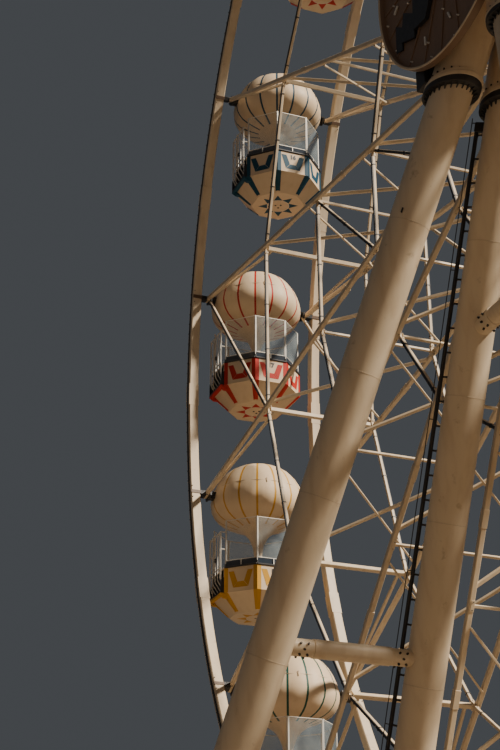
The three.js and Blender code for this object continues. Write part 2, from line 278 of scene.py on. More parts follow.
def crossFrame(start, end, normal):
    along = (end - start).normalized()
    side = along.cross(normal).normalized()
    return along, side, side.cross(along).normalized()


def chamferedRing(centre, side, up, depth, width, cut):
    a, b, c = depth / 2, width / 2, cut
    corners = ((a - c, b), (a, b - c), (a, -b + c), (a - c, -b), (-a + c, -b), (-a, -b + c), (-a, b - c),
               (-a + c, b))
    return [centre + side * x + up * y for x, y in corners]


def barBetween(bm, start, end, depth, width, normal, look=0, cut=0.008):
    # rectangular bar: width lies along the normal, depth across it
    start, end = Vector(start), Vector(end)
    along, side, up = crossFrame(start, end, Vector(normal))
    rings = []
    for centre, inset in ((start, cut), (start + along * cut, 0), (end - along * cut, 0), (end, cut)):
        rings.append(chamferedRing(centre, side, up, depth - 2 * inset, width - 2 * inset, cut))
    return loft(bm, rings, look)


def acrossAxis(axis):
    hint = Vector((1, 0, 0)) if abs(axis.z) > 0.9 else upward
    side = hint.cross(axis).normalized()
    return side, axis.cross(side)


def circlePoints(centre, side, up, radius, count, offset=0.0):
    turns = [offset + 2 * math.pi * k / count for k in range(count)]
    return [centre + side * (radius * math.cos(t)) + up * (radius * math.sin(t)) for t in turns]


def roundBetween(bm, start, end, radius, sides=16, look=0, cut=0.0):
    start, end = Vector(start), Vector(end)
    along = (end - start).normalized()
    side, up = acrossAxis(along)
    stations = [(start, radius), (end, radius)]
    if cut:
        stations = [(start, radius - cut), (start + along * cut, radius), (end - along * cut, radius),
                    (end, radius - cut)]
    return loft(bm, [circlePoints(centre, side, up, r, sides) for centre, r in stations], look)


def blockBetween(bm, low, high, look=0, cut=0.006):
    # upright box between two opposite corners, given in any order
    low, high = Vector(map(min, low, high)), Vector(map(max, low, high))
    middle = (low + high) / 2
    start, end = Vector((middle.x, middle.y, low.z)), Vector((middle.x, middle.y, high.z))
    return barBetween(bm, start, end, high.y - low.y, high.x - low.x, (1, 0, 0), look, cut)


def plate(bm, corners, across, look):
    # flat plate with the given outline, this far to each side of it
    return loft(bm, [[c - across for c in corners], [c + across for c in corners]], look)


def washer(bm, centre, axis, inner, outer, thickness, sides=32, look=0):
    # flat ring about an axis
    centre, axis = Vector(centre), Vector(axis).normalized()
    side, up = acrossAxis(axis)
    corners = ((inner, -1), (outer, -1), (outer, 1), (inner, 1))
    rings = [[centre + (out * r) + axis * (h * thickness / 2) for r, h in corners]
             for out in circlePoints(origin, side, up, 1, sides)]
    return loft(bm, rings, look, closed=True)


def turnedShape(bm, profile, sides, look=0, turn=0.0, axis="Z"):
    # profile of (radius, height) from axis to axis
    def point(r, h, t):
        if axis == "Z":
            return (r * math.cos(t), r * math.sin(t), h)
        return (r * math.cos(t), h, r * math.sin(t))
    first = bm.verts.new(point(0, profile[0][1], 0))
    last = bm.verts.new(point(0, profile[-1][1], 0))
    rows = [[bm.verts.new(point(r, h, turn + 2 * math.pi * k / sides)) for k in range(sides)]
            for r, h in profile[1:-1]]
    made = []
    for k in range(sides):
        m = (k + 1) % sides
        made.append(bm.faces.new((first, rows[0][k], rows[0][m])))
        made.append(bm.faces.new((last, rows[-1][m], rows[-1][k])))
        for near, far in zip(rows, rows[1:]):
            made.append(bm.faces.new((near[k], far[k], far[m], near[m])))
    for face in made:
        face.material_index = look
    return made


def smoothFaces(mesh, angle):
    mesh.polygons.foreach_set("use_smooth", [True] * len(mesh.polygons))
    mesh.set_sharp_from_angle(angle=math.radians(angle))
    return mesh


def finishMesh(name, bm, looks, smoothAngle=34):
    bmesh.ops.recalc_face_normals(bm, faces=bm.faces)
    mesh = bpy.data.meshes.new(name)
    bm.to_mesh(mesh)
    bm.free()
    for look in looks:
        mesh.materials.append(look)
    return smoothFaces(mesh, smoothAngle)


def frozenMesh(holder):
    # the holder's shape as a plain mesh, with the holder removed
    bpy.context.view_layer.update()
    mesh = bpy.data.meshes.new_from_object(holder.evaluated_get(bpy.context.evaluated_depsgraph_get()))
    holder.modifiers.clear()
    bpy.data.objects.remove(holder)
    return mesh


def showPiece(name, mesh, body, replaced=None):
    piece = linkNew(name, mesh)
    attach(piece, body)
    if replaced:
        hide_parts(replaced)


def showAtHub(name, meshes, body, node, label, place=atHub):
    mesh = joinMeshes(label, meshes)
    mesh.transform(place)
    showPiece(name, mesh, body, node)


# node trees for what repeats or follows a path
def newTree(name, inputs):
    tree = bpy.data.node_groups.new(name, "GeometryNodeTree")
    tree.is_modifier = True
    tree.interface.new_socket("Geometry", in_out="INPUT", socket_type="NodeSocketGeometry")
    for label, kind, value in inputs:
        tree.interface.new_socket(label, in_out="INPUT", socket_type=kind).default_value = value
    tree.interface.new_socket("Finish", in_out="INPUT", socket_type="NodeSocketMaterial")
    tree.interface.new_socket("Geometry", in_out="OUTPUT", socket_type="NodeSocketGeometry")
    return tree, tree.nodes.new("NodeGroupInput").outputs


def wire(tree, *pairs):
    for source, target in pairs:
        tree.links.new(source, target)


def closeTree(tree, given, shape):
    # last steps of every tree: real geometry, then its material
    realize = tree.nodes.new("GeometryNodeRealizeInstances")
    finish = tree.nodes.new("GeometryNodeSetMaterial")
    result = tree.nodes.new("NodeGroupOutput")
    wire(tree, (shape, realize.inputs["Geometry"]), (realize.outputs["Geometry"], finish.inputs["Geometry"]),
         (given["Finish"], finish.inputs["Material"]), (finish.outputs["Geometry"], result.inputs["Geometry"]))
    return tree


def tubesOnPaths():
    tree, given = newTree("tubesOnPaths", [("Tube radius", "NodeSocketFloat", 0.01),
                                           ("Tube sides", "NodeSocketInt", 8)])
    curve = tree.nodes.new("GeometryNodeMeshToCurve")
    profile = tree.nodes.new("GeometryNodeCurvePrimitiveCircle")
    sweep = addNode(tree, "GeometryNodeCurveToMesh", Fill_Caps=True)
    wire(tree, (given["Geometry"], curve.inputs["Mesh"]), (given["Tube radius"], profile.inputs["Radius"]),
         (given["Tube sides"], profile.inputs["Resolution"]), (curve.outputs["Curve"], sweep.inputs["Curve"]),
         (profile.outputs["Curve"], sweep.inputs["Profile Curve"]))
    return closeTree(tree, given, sweep.outputs["Mesh"])


def headsOnPoints():
    # bolt heads or lamps on points, each turned to the point's own aim
    tree, given = newTree("headsOnPoints", [
        ("Head radius", "NodeSocketFloat", 0.015), ("Head height", "NodeSocketFloat", 0.02),
        ("Head sides", "NodeSocketInt", 6), ("Crown", "NodeSocketFloat", 0.8)])
    head = tree.nodes.new("GeometryNodeMeshCone")
    aim = addNode(tree, "GeometryNodeInputNamedAttribute", data_type="FLOAT_VECTOR", Name="aim")
    align = addNode(tree, "FunctionNodeAlignRotationToVector", axis="Z")
    place = tree.nodes.new("GeometryNodeInstanceOnPoints")
    top = addNode(tree, "ShaderNodeMath", operation="MULTIPLY")
    wire(tree, (given["Head sides"], head.inputs["Vertices"]), (given["Head radius"], head.inputs["Radius Bottom"]),
         (given["Head radius"], top.inputs[0]), (given["Crown"], top.inputs[1]),
         (top.outputs[0], head.inputs["Radius Top"]), (given["Head height"], head.inputs["Depth"]),
         (aim.outputs["Attribute"], align.inputs["Vector"]), (given["Geometry"], place.inputs["Points"]),
         (head.outputs["Mesh"], place.inputs["Instance"]), (align.outputs["Rotation"], place.inputs["Rotation"]))
    return closeTree(tree, given, place.outputs["Instances"])


def hoopTree():
    tree, given = newTree("rimHoop", [
        ("Rim radius", "NodeSocketFloat", 14.8), ("Rim width", "NodeSocketFloat", 0.24),
        ("Rim depth", "NodeSocketFloat", 0.2), ("Segments", "NodeSocketInt", 240)])
    circle = tree.nodes.new("GeometryNodeCurvePrimitiveCircle")
    profile = tree.nodes.new("GeometryNodeCurvePrimitiveQuadrilateral")
    fillet = addNode(tree, "GeometryNodeFilletCurve", Radius=0.018)
    sweep = tree.nodes.new("GeometryNodeCurveToMesh")
    wire(tree, (given["Segments"], circle.inputs["Resolution"]), (given["Rim radius"], circle.inputs["Radius"]),
         (given["Rim width"], profile.inputs["Width"]), (given["Rim depth"], profile.inputs["Height"]),
         (profile.outputs["Curve"], fillet.inputs["Curve"]), (circle.outputs["Curve"], sweep.inputs["Curve"]),
         (fillet.outputs["Curve"], sweep.inputs["Profile Curve"]))
    return closeTree(tree, given, sweep.outputs["Mesh"])


tubeTree = tubesOnPaths()
headTree = headsOnPoints()
rimTree = hoopTree()


def growMesh(name, seedMesh, tree, values, smoothAngle=50):
    holder = linkNew(name + "Seed", seedMesh)
    modifier = holder.modifiers.new("grow", "NODES")
    modifier.node_group = tree
    named = {item.name: item.identifier for item in tree.interface.items_tree if item.in_out == "INPUT"}
    for label, value in values.items():
        modifier[named[label]] = value
    mesh = frozenMesh(holder)
    mesh.name = name
    if not mesh.materials:
        mesh.materials.append(values["Finish"])
    return smoothFaces(mesh, smoothAngle)


def pathMesh(name, paths):
    points, edges = [], []
    for path in paths:
        start = len(points)
        points.extend(path)
        edges.extend((start + k, start + k + 1) for k in range(len(path) - 1))
    mesh = bpy.data.meshes.new(name)
    mesh.from_pydata(points, edges, [])
    return mesh


def tubes(name, paths, radius, look, sides=8):
    return growMesh(name, pathMesh(name + "Path", paths), tubeTree,
                    {"Tube radius": radius, "Tube sides": sides, "Finish": look})


def heads(name, spots, size, look, sides=6, crown=0.85):
    # spots are pairs of point and aim, size is radius and height
    points, aims = zip(*spots)
    mesh = bpy.data.meshes.new(name + "Points")
    mesh.from_pydata(points, [], [])
    aim = mesh.attributes.new("aim", "FLOAT_VECTOR", "POINT")
    aim.data.foreach_set("vector", [c for a in aims for c in a])
    return growMesh(name, mesh, headTree, {"Head radius": size[0], "Head height": size[1], "Head sides": sides,
                                           "Crown": crown, "Finish": look})


def boltRing(centre, axis, radius, count, offset=0.0):
    axis = Vector(axis).normalized()
    return [(p, axis) for p in circlePoints(Vector(centre), *acrossAxis(axis), radius, count, offset)]


def joinMeshes(name, meshes):
    bm = bmesh.new()
    looks = []
    for mesh in meshes:
        places = []
        for look in mesh.materials:
            if look not in looks:
                looks.append(look)
            places.append(looks.index(look))
        before = len(bm.faces)
        bm.from_mesh(mesh)
        bm.faces.ensure_lookup_table()
        for face in bm.faces[before:]:
            face.material_index = places[face.material_index] if places else 0
    made = bpy.data.meshes.new(name)
    bm.to_mesh(made)
    bm.free()
    for look in looks:
        made.materials.append(look)
    return made


spoke = {"lace": 0.055, "knee": 0.05, "kneeRun": 0.2, "kneeY": 0.943, "counter": 0.034, "counterOff": 0.046,
         "inset": 0.26, "splice": 0.13, "splices": (10.046, 7.594), "collars": (0.01, 0.24), "clamp": 0.055,
         "saddle": (-0.085, 0.065), "cap": (-0.11, -0.09, 0.045), "strut": 0.046, "gusset": (0.08, 0.055, 0.005),
         "boltRun": 0.055, "boltY": 0.028, "capBolts": (0.113, 0.06, 0.03), "bolt": (0.007, 0.012)}


def spokeMesh(ownStrut):
    bm = bmesh.new()
    y, half, tip = wheel["beamY"], wheel["spokeWidth"] / 2, wheel["radius"]
    start, end = wheel["spokeStart"], tip + wheel["spokeTip"]
    inner, outer = y - half, y + half
    r1, rs, r2, r3 = wheel["rings"]
    reach = wheel["rimFace"] - wheel["rimWidth"] - 0.0003
    run, deep, thick = spoke["gusset"]

    def sleeve(s, fromR, toR, extra):
        barBetween(bm, (fromR, s * y, 0), (toR, s * y, 0), 2 * half + extra, 2 * half + extra, upward, 0, 0.004)

    def lattice(a, b, size, cut=0.006):
        barBetween(bm, a, b, size, size, upward, 0, cut)

    for s in (-1, 1):
        barBetween(bm, (start, s * y, 0), (end, s * y, 0), 2 * half, 2 * half, upward, 0, 0.009)
        lattice((tip - spoke["kneeRun"], s * (inner + 0.01), 0), (r1 + 0.041, s * spoke["kneeY"], 0), spoke["knee"])
        for off in spoke["collars"]:  # end plate and collar at the hub
            sleeve(s, start + off, start + off + 0.022, 0.05)
        for r in wheel["rings"]:  # gusset plates where the rings cross
            for z in (-1, 1):
                blockBetween(bm, (r - run, s * (inner - 0.001), z * half - thick),
                             (r + run, s * (inner + deep), z * half + thick), 0, 0.002)
        for r in spoke["splices"]:
            sleeve(s, r - spoke["splice"], r + spoke["splice"], 0.01)
        # rim clamp: saddle block with a cap plate under the rim's inner edge
        low, high = spoke["saddle"]
        blockBetween(bm, (tip + low, s * (outer - 0.02), -spoke["clamp"]), (tip + high, s * reach, spoke["clamp"]), 1,
                     0.008)
        low, high, side = spoke["cap"]
        blockBetween(bm, (tip + low, s * (outer - 0.05), -side), (tip + high, s * (reach + 0.01), side), 1, 0.004)
    inset, off = spoke["inset"], spoke["counterOff"]
    for far, near in ((r1, rs), (rs, r2), (r2, r3)):
        lattice((far - inset, -(inner + 0.02), 0), (near + inset, inner + 0.02, 0), spoke["lace"])
    for far, near in ((r1, rs), (rs, r2)):  # slimmer opposite bars, crossing beside the lattice
        lattice((near + inset + 0.03, -(inner + 0.01), off), (far - inset - 0.03, inner + 0.01, off),
                spoke["counter"], 0.005)
    if ownStrut:
        barBetween(bm, (rs, -(inner + 0.002), 0), (rs, inner + 0.002, 0), spoke["strut"], spoke["strut"], (1, 0, 0),
                   0, 0.006)
    base = finishMesh("spokeBars", bm, [creamPaint, blackPaint])
    bolts, run = [], spoke["boltRun"]
    under, shy, side = spoke["capBolts"]
    for s in (-1, 1):
        bolts += [((r + dr, s * (inner + spoke["boltY"]), z * (half + thick)), (0, 0, z))
                  for r in wheel["rings"] for z in (-1, 1) for dr in (-run, run)]
        bolts += [((tip - under, s * (wheel["rimFace"] - wheel["rimWidth"] - shy), z), (-1, 0, 0))
                  for z in (-side, side)]
    return joinMeshes("spokeFrame", [base, heads("spokeBolts", bolts, spoke["bolt"], boltSteel)])


def buildSpokes():
    plain, stiffened = spokeMesh(True), spokeMesh(False)
    for k in spokeNumbers:
        mesh = (stiffened if any(b <= k <= b + 2 for b in wheel["stiff"]) else plain).copy()
        mesh.transform(turnWheel(spokeAngle(k)))
        showPiece(f"spokeFrame_{k:02d}", mesh, "wheel", f"spoke_{k:02d}")
    print("spokes built")


rim = {"segments": 240, "stripHalf": 0.028, "stripLift": 0.014, "sleeveLength": 0.5, "skin": 0.004,
       # strap sizes: brown band at each clamp, partly a strap and partly painted shadow of the spoke tip
       "strapShadow": (0.075, 0.014), "strapShadowHalf": 0.103, "boltTurn": 0.5, "boltY": 0.07, "bolt": (0.010, 0.018),
       "lamp": (0.018, 0.018), "lamps": 400}


def rimStrip(face, s):
    # lamp strip on the outboard face
    bm = bmesh.new()
    low, high = wheel["radius"] - rim["stripHalf"], wheel["radius"] + rim["stripHalf"]
    back, front = face - s * 0.004, face + s * rim["stripLift"]
    loft(bm, [[polar(r, 360 * k / rim["segments"], y)
               for r, y in ((low, back), (low, front), (high, front), (high, back))]
              for k in range(rim["segments"])], 0, closed=True)
    return finishMesh("rimStrip", bm, [stripBlack])


def rimSleeves():
    # joint sleeves halfway between spokes, and a brown strap round the rim's inner face at each clamp, partly a clamp
    # strap and partly the painted shadow of the spoke tip
    bm = bmesh.new()
    half = wheel["rimDepth"] / 2 + rim["skin"]
    spread = math.degrees(rim["sleeveLength"] / wheel["radius"]) / 2
    corners = ((-half, -half), (half, -half), (half, half), (-half, half))
    for k in spokeNumbers:
        middle = spokeAngle(k) + step / 2
        loft(bm, [[polar(wheel["radius"] + a, middle - spread + 2 * spread * j / 6, b) for a, b in corners]
                  for j in range(7)], 0)
    # brown strap at each spoke: partly a clamp strap, partly painted shadow of the spoke tip on the rim's inner face
    for k in spokeNumbers:
        t, lip = spokeAngle(k), wheel["radius"] - half
        barBetween(bm, polar(lip, t, -rim["strapShadowHalf"]), polar(lip, t, rim["strapShadowHalf"]), *rim["strapShadow"], polar(1, t),
                   1, 0.003)
    return finishMesh("rimSleeves", bm, [creamPaint, strapShadowBrown])


def buildRims():
    rimY = wheel["rimFace"] - wheel["rimWidth"] / 2
    for side, s in sidesOfWheel:
        hoop = growMesh("rimHoop", pathMesh("rimSeed", [[(0, 0, 0), (0.1, 0, 0)]]), rimTree,
                        {"Rim radius": wheel["radius"], "Rim width": wheel["rimDepth"],
                         "Rim depth": wheel["rimWidth"], "Segments": rim["segments"], "Finish": creamPaint}, 40)
        hoop.transform(Matrix.Rotation(math.radians(90), 4, "X"))
        face = s * wheel["rimWidth"] / 2
        bolts = [(polar(wheel["radius"] - 0.101, t, s * rim["boltY"]), -polar(1, t))  # small ones beside each clamp
                 for k in spokeNumbers for t in (spokeAngle(k) - rim["boltTurn"], spokeAngle(k) + rim["boltTurn"])]
        lamps = [(polar(wheel["radius"], 360 / rim["lamps"] * k, face + s * (rim["stripLift"] + 0.001)), (0, s, 0))
                 for k in range(rim["lamps"])]
        meshes = [hoop, rimStrip(face, s), rimSleeves(), heads("rimBolts", bolts, rim["bolt"], boltSteel),
                  heads("rimLamps", lamps, rim["lamp"], lampGlass, 8, 0.7)]
        showAtHub(f"rimTube_{side}", meshes, "wheel", f"rim_{side}", "rim",
                  atHub @ Matrix.Translation((0, s * rimY, 0)))
    print("rims built")


# rings: chords with flat lamp strips, ties, and the stiffened bays
ring = {"tie": 0.046, "outerTie": 0.08, "tieReach": 1.09, "tiePlateY": 1.055, "brace": 0.055, "braceThickness": 0.045,
        "strip": 0.042, "stripReach": 0.016, "stripShy": 0.14, "endGap": 0.3, "lampGap": 0.3, "clipGap": 0.85,
        "clip": (0.012, 0.008), "clampFrom": 0.1, "clampHalf": 0.03, "skin": 0.008, "tiePlate": (0.012, 0.04),
        "bolt": (0.007, 0.012), "lamp": (0.011, 0.012)}


def stripOn(bm, start, end, s, depth, thickness, lamps):
    # lamp strip on the outboard face of a chord or brace, held by dark bands right round the bar
    length = (end - start).length
    along = (end - start) / length
    reach = ring["stripReach"]
    low, high = start.copy(), end.copy()
    low.y = high.y = s * (wheel["chordFace"] + reach / 2 - 0.002)
    shy, gap, (half, skin) = along * ring["stripShy"], ring["endGap"], ring["clip"]
    barBetween(bm, low + shy, high - shy, ring["strip"], reach + 0.004, alongY, 1, 0.004)
    count = max(2, int(length / ring["clipGap"]))
    for k in range(count):
        spot = start + along * (gap + (length - 2 * gap) * k / (count - 1))
        spot.y = s * (wheel["chordFace"] - (thickness - reach) / 2)
        barBetween(bm, spot - along * half, spot + along * half, depth + skin, thickness + reach + skin, alongY, 1,
                   0.003)
    for j in range(int((length - 0.5) / ring["lampGap"])):
        spot = start.lerp(end, (gap + ring["lampGap"] * j) / length)
        spot.y = s * (wheel["chordFace"] + reach + 0.001)
        lamps.append((spot, (0, s, 0)))


def addChords(bm, r, k, lamps, bolts):
    # one chord on each side across the bay from spoke k, with clamp plates beside the spokes
    chord, angle, skin = wheel["chord"], spokeAngle(k), ring["skin"]
    inward = -polar(1, angle + step / 2)
    for s in (-1, 1):
        y = s * (wheel["chordFace"] - chord / 2)
        start, end = polar(r, angle, y), polar(r, angle + step, y)
        along = (end - start).normalized()
        barBetween(bm, start - along * skin, end + along * skin, chord, chord, alongY, 0, 0.006)
        stripOn(bm, start, end, s, chord, chord, lamps)
        for t in (ring["clampFrom"], (end - start).length - ring["clampFrom"]):
            spot, half = start + along * t, along * ring["clampHalf"]
            barBetween(bm, spot - half, spot + half, chord + 2 * skin, chord + 0.014, alongY, 0, 0.004)
            bolts.append((spot + inward * (chord / 2 + skin), inward))


def addTie(bm, r, k, size):
    mid, outward = polar(r, spokeAngle(k)), polar(1, spokeAngle(k))
    reach, (thick, extra) = alongY * ring["tieReach"], ring["tiePlate"]
    barBetween(bm, mid - reach, mid + reach, size, size, outward, 0, 0.006)
    for s in (-1, 1):  # end plates
        spot = mid + alongY * (s * ring["tiePlateY"])
        barBetween(bm, spot, spot + alongY * (s * thick), size + extra, size + extra, outward, 0, 0.003)


def addBraces(bm, k, fromRadius, toRadius, lamps):
    for s in (-1, 1):
        y = s * (wheel["chordFace"] - ring["braceThickness"] / 2)
        start, end = polar(fromRadius, spokeAngle(k), y), polar(toRadius, spokeAngle(k + 1), y)
        along = (end - start).normalized()
        start += along * (0.075 if fromRadius == wheel["radius"] else 0.03)
        end -= along * 0.04
        barBetween(bm, start, end, ring["brace"], ring["braceThickness"], alongY, 0, 0.006)
        stripOn(bm, start, end, s, ring["brace"], ring["braceThickness"], lamps)


def buildRings():
    outer, strut, mid, inner = wheel["rings"]
    for name, r in (("outer", outer), ("mid", mid), ("inner", inner)):
        bm = bmesh.new()
        lamps, bolts = [], []
        for k in spokeNumbers:
            addChords(bm, r, k, lamps, bolts)
            if name != "inner" or k % 2 == 1:
                addTie(bm, r, k, ring["outerTie"] if name == "outer" else ring["tie"])
        for k in wheel["stiff"]:
            if name == "outer":
                addBraces(bm, k, wheel["radius"], outer, lamps)
            if name == "mid":
                addBraces(bm, k, strut, mid, lamps)
                addBraces(bm, k, mid, inner, lamps)
                for bay in (0, 1):
                    addChords(bm, strut, k + bay, lamps, bolts)
                for spokeOn in (0, 1, 2):
                    addTie(bm, strut, k + spokeOn, ring["tie"])
        meshes = [finishMesh("ringBars", bm, [creamPaint, stripBlack]),
                  heads("ringBolts", bolts, ring["bolt"], boltSteel),
                  heads("ringLamps", lamps, ring["lamp"], lampGlass, 6, 0.6)]
        showAtHub(f"ringChords_{name}", meshes, "wheel", f"ring_{name}", "ring")
    print("rings built")


# hub drum, shaft and dishes
hub = {"drum": 0.70, "collar": 0.38, "collarEnd": 1.7497, "shaft": 0.25, "shaftEnd": 3.02, "flange": 1.1,
       "flangeHalf": 0.06, "ribs": (((0.68, -0.1), (1.05, -0.1)), ((0.69, 0.066), (0.98, 0.085))),
       "rib": (0.014, 0.09), "boltCircles": (0.47, 0.62), "edgeBolts": (1.02, 3.2), "bolt": (0.019, 0.036)}
dish = {"radius": 1.9, "depth": 0.13, "ribs": 24, "ribFrom": 0.6, "ribTo": 1.84, "rib": (0.035, 0.018), "lamps": 14,
        "lampFrom": 1.33, "lampRun": 0.12, "lamp": (0.03, 0.03), "fitting": (0.014, 0.03),
        "boss": ((1.5, 0.042), (0.62, 0.04), (0.61, 0.075), (0.42, 0.085), (0.41, 0.115), (0.2, 0.125), (0, 0.125)),
        "circles": ((0.51, 12, 0.0, 0.08), (1.2, 6, 0.35, 0.05), (1.55, 12, 0.1, 0.05), (1.78, 18, 0.2, 0.05)),
        # steps: outlines of the black stepped panels on the pan, a painted shadow
        "steps": (((-1.51, -0.54), (-1.32, -0.68), (-1.34, -1.04), (-1.52, -0.98), 0.07),
                  ((-1.24, -0.5), (-0.93, -0.73), (-0.96, -1.1), (-1.36, -0.92), 0.085),
                  ((-0.94, -0.42), (-0.46, -0.78), (-0.62, -1.04), (-0.96, -0.99), 0.1))}


def buildHub():
    bm = bmesh.new()
    y, drum, collar, end = wheel["beamY"], hub["drum"], hub["collar"], hub["shaftEnd"]
    half = [(drum - 0.04, 0.86), (drum, 0.9), (drum, y + 0.068), (drum - 0.01, y + 0.08), (collar, y + 0.086),
            (collar, 1.74), (collar - 0.01, hub["collarEnd"]), (hub["shaft"], hub["collarEnd"]),
            (hub["shaft"], end - 0.015), (hub["shaft"] - 0.015, end), (0, end)]
    turnedShape(bm, [(r, -h) for r, h in reversed(half)] + half, 64, 0, axis="Y")
    edge, thick = hub["flange"] / math.cos(math.pi / wheel["spokes"]), hub["flangeHalf"]
    for s in (-1, 1):
        loft(bm, [[polar(r, spokeAngle(k) + step / 2, s * y + dy) for k in spokeNumbers]
                  for dy, r in ((-thick, edge - 0.008), (0.008 - thick, edge), (thick - 0.008, edge),
                                (thick, edge - 0.008))], 0)
        for k in spokeNumbers:  # stiffener ribs between drum and flange, on both faces of the flange
            for ends in hub["ribs"]:
                barBetween(bm, *[polar(r, spokeAngle(k) + step / 2, s * (y + dy)) for r, dy in ends], *hub["rib"],
                           alongY, 0, 0.003)
    bolts, (far, turn) = [], hub["edgeBolts"]
    for s in (-1, 1):
        for radius in hub["boltCircles"]:
            bolts += boltRing((0, s * (y + 0.085), 0), (0, s, 0), radius, 24)
        bolts += [(polar(far, spokeAngle(k) + t, s * (y + thick)), (0, s, 0)) for k in spokeNumbers
                  for t in (-turn, turn)]
    meshes = [finishMesh("hubDrum", bm, [creamPaint]), heads("hubBolts", bolts, hub["bolt"], boltSteel)]
    showAtHub("hubShaft", meshes, "wheel", "hub_drum", "hub")
    print("hub built")


def buildDishes():
    back, front, radius = hub["shaftEnd"] + 0.0003, hub["shaftEnd"] + dish["depth"], dish["radius"]
    # shallow dark pan with a slim rolled rim and a stepped centre boss
    profile = [(0, back), (radius - 0.04, back), (radius, back + 0.02), (radius, front - 0.012),
               (radius - 0.012, front), (radius - 0.028, front), (radius - 0.038, front - 0.014),
               (radius - 0.048, back + 0.05)] + [(r, back + h) for r, h in dish["boss"]]
    for side, s in sidesOfWheel:
        bm = bmesh.new()
        turnedShape(bm, [(r, s * h) for r, h in profile], 96, 0, axis="Y")
        for face in bm.faces:  # pale rolled rim
            if all(math.hypot(v.co.x, v.co.z) > radius - 0.055 and abs(v.co.y) > front - 0.015 for v in face.verts):
                face.material_index = 1
        for k in range(dish["ribs"]):  # flat ribs pressed into the pan
            t = 360 / dish["ribs"] * k + 4
            barBetween(bm, polar(dish["ribFrom"], t, s * (back + 0.046)), polar(dish["ribTo"], t, s * (back + 0.052)),
                       *dish["rib"], alongY, 0, 0.004)
        for turn in (-1, 1):  # black panels that step down across the pan: a painted shadow, drawn as plates
            for *outline, lift in dish["steps"]:
                slab(bm, *[[Vector((-turn * x, s * (back + h), -turn * z)) for x, z in outline]
                           for h in (0.035, lift)], 2)
        for k in range(dish["lamps"]):  # short lamp tubes
            t, r, y = 360 * k / dish["lamps"] + 9, dish["lampFrom"] + dish["lampRun"] * (k % 2), s * (back + 0.062)
            barBetween(bm, polar(r, t, y), polar(r + dish["lampRun"], t + 2.5, y), *dish["lamp"], alongY, 3, 0.008)
        fittings = [spot for r, count, offset, lift in dish["circles"]
                    for spot in boltRing((0, s * (back + lift), 0), (0, s, 0), r, count, offset)]
        meshes = [finishMesh("dishPan", bm, [dishPaint, weldSteel, blackPaint, paleMetal]),
                  heads("dishFittings", fittings, dish["fitting"], paleMetal, 10, 0.7)]
        showAtHub(f"lampDish_{side}", meshes, "wheel", f"dish_{side}", "dish")
    print("dishes built")


leg = {"lean": 0.41, "inner": {"y": 1.83, "lean": 0.017, "radius": 0.263},
       "outer": {"y": 2.2515, "lean": 0.2156, "radius": 0.272}, "head": 1.95, "headRadius": 0.32, "headTop": 0.15,
       "disc": 0.36, "discThickness": 0.08, "flangeRibs": 24, "welds": (1.9, 3.95, 5.6, 7.7, 9.85, 12.1, 14.2, 16.1),
       "bead": ((-0.010, -0.004), (-0.006, 0.0016), (0.006, 0.0016), (0.010, -0.004)), "lugs": (0.9, 0.9 + math.pi),
       "lugDrop": 1.8, "lug": (0.035, 0.014, 0.06), "foot": 0.55, "plate": 0.06, "footBolts": (0.16, 0.45),
       "gussets": 8, "gussetReach": (0.2, 0.5), "gussetHeight": (0.36, 0.04), "axialHeight": 9.13,
       "axialRadius": 0.122, "spigot": 0.112, "spigotLength": 0.27, "tieHeight": 13.09, "tieRadius": 0.12,
       "sleeve": 0.26, "sleeveSkin": 0.012, "boltTilt": -0.42, "bolt": (0.017, 0.026),
       "quincunx": ((0, 0), (-0.052, -0.62), (-0.052, 0.62), (0.052, -0.62), (0.052, 0.62))}
legLooks = [creamPaint, weldSteel, blackPaint]


def legPoint(sx, s, kind, drop):
    return Vector((sx * leg["lean"] * drop, s * (kind["y"] + kind["lean"] * drop), wheel["hubHeight"] - drop))


def levelRing(centre, along, radius, sides):
    # ring of a leaning tube, cut level
    side = alongY.cross(along).normalized()
    return [p + along * ((centre.z - p.z) / along.z)
            for p in circlePoints(centre, side, along.cross(side), radius, sides)]


def legAxis(sx, s, kind):
    return (legPoint(sx, s, kind, 10) - legPoint(sx, s, kind, 2)).normalized()


def levelLoft(bm, sx, s, kind, stations, look):
    along = legAxis(sx, s, kind)
    loft(bm, [levelRing(legPoint(sx, s, kind, drop), along, r, 64) for drop, r in stations], look)


def levelDisc(bm, sx, s, kind, fromDrop, toDrop, radius, look, cut=0.006):
    levelLoft(bm, sx, s, kind, ((fromDrop, radius - cut), (fromDrop + cut, radius), (toDrop - cut, radius),
                                (toDrop, radius - cut)), look)


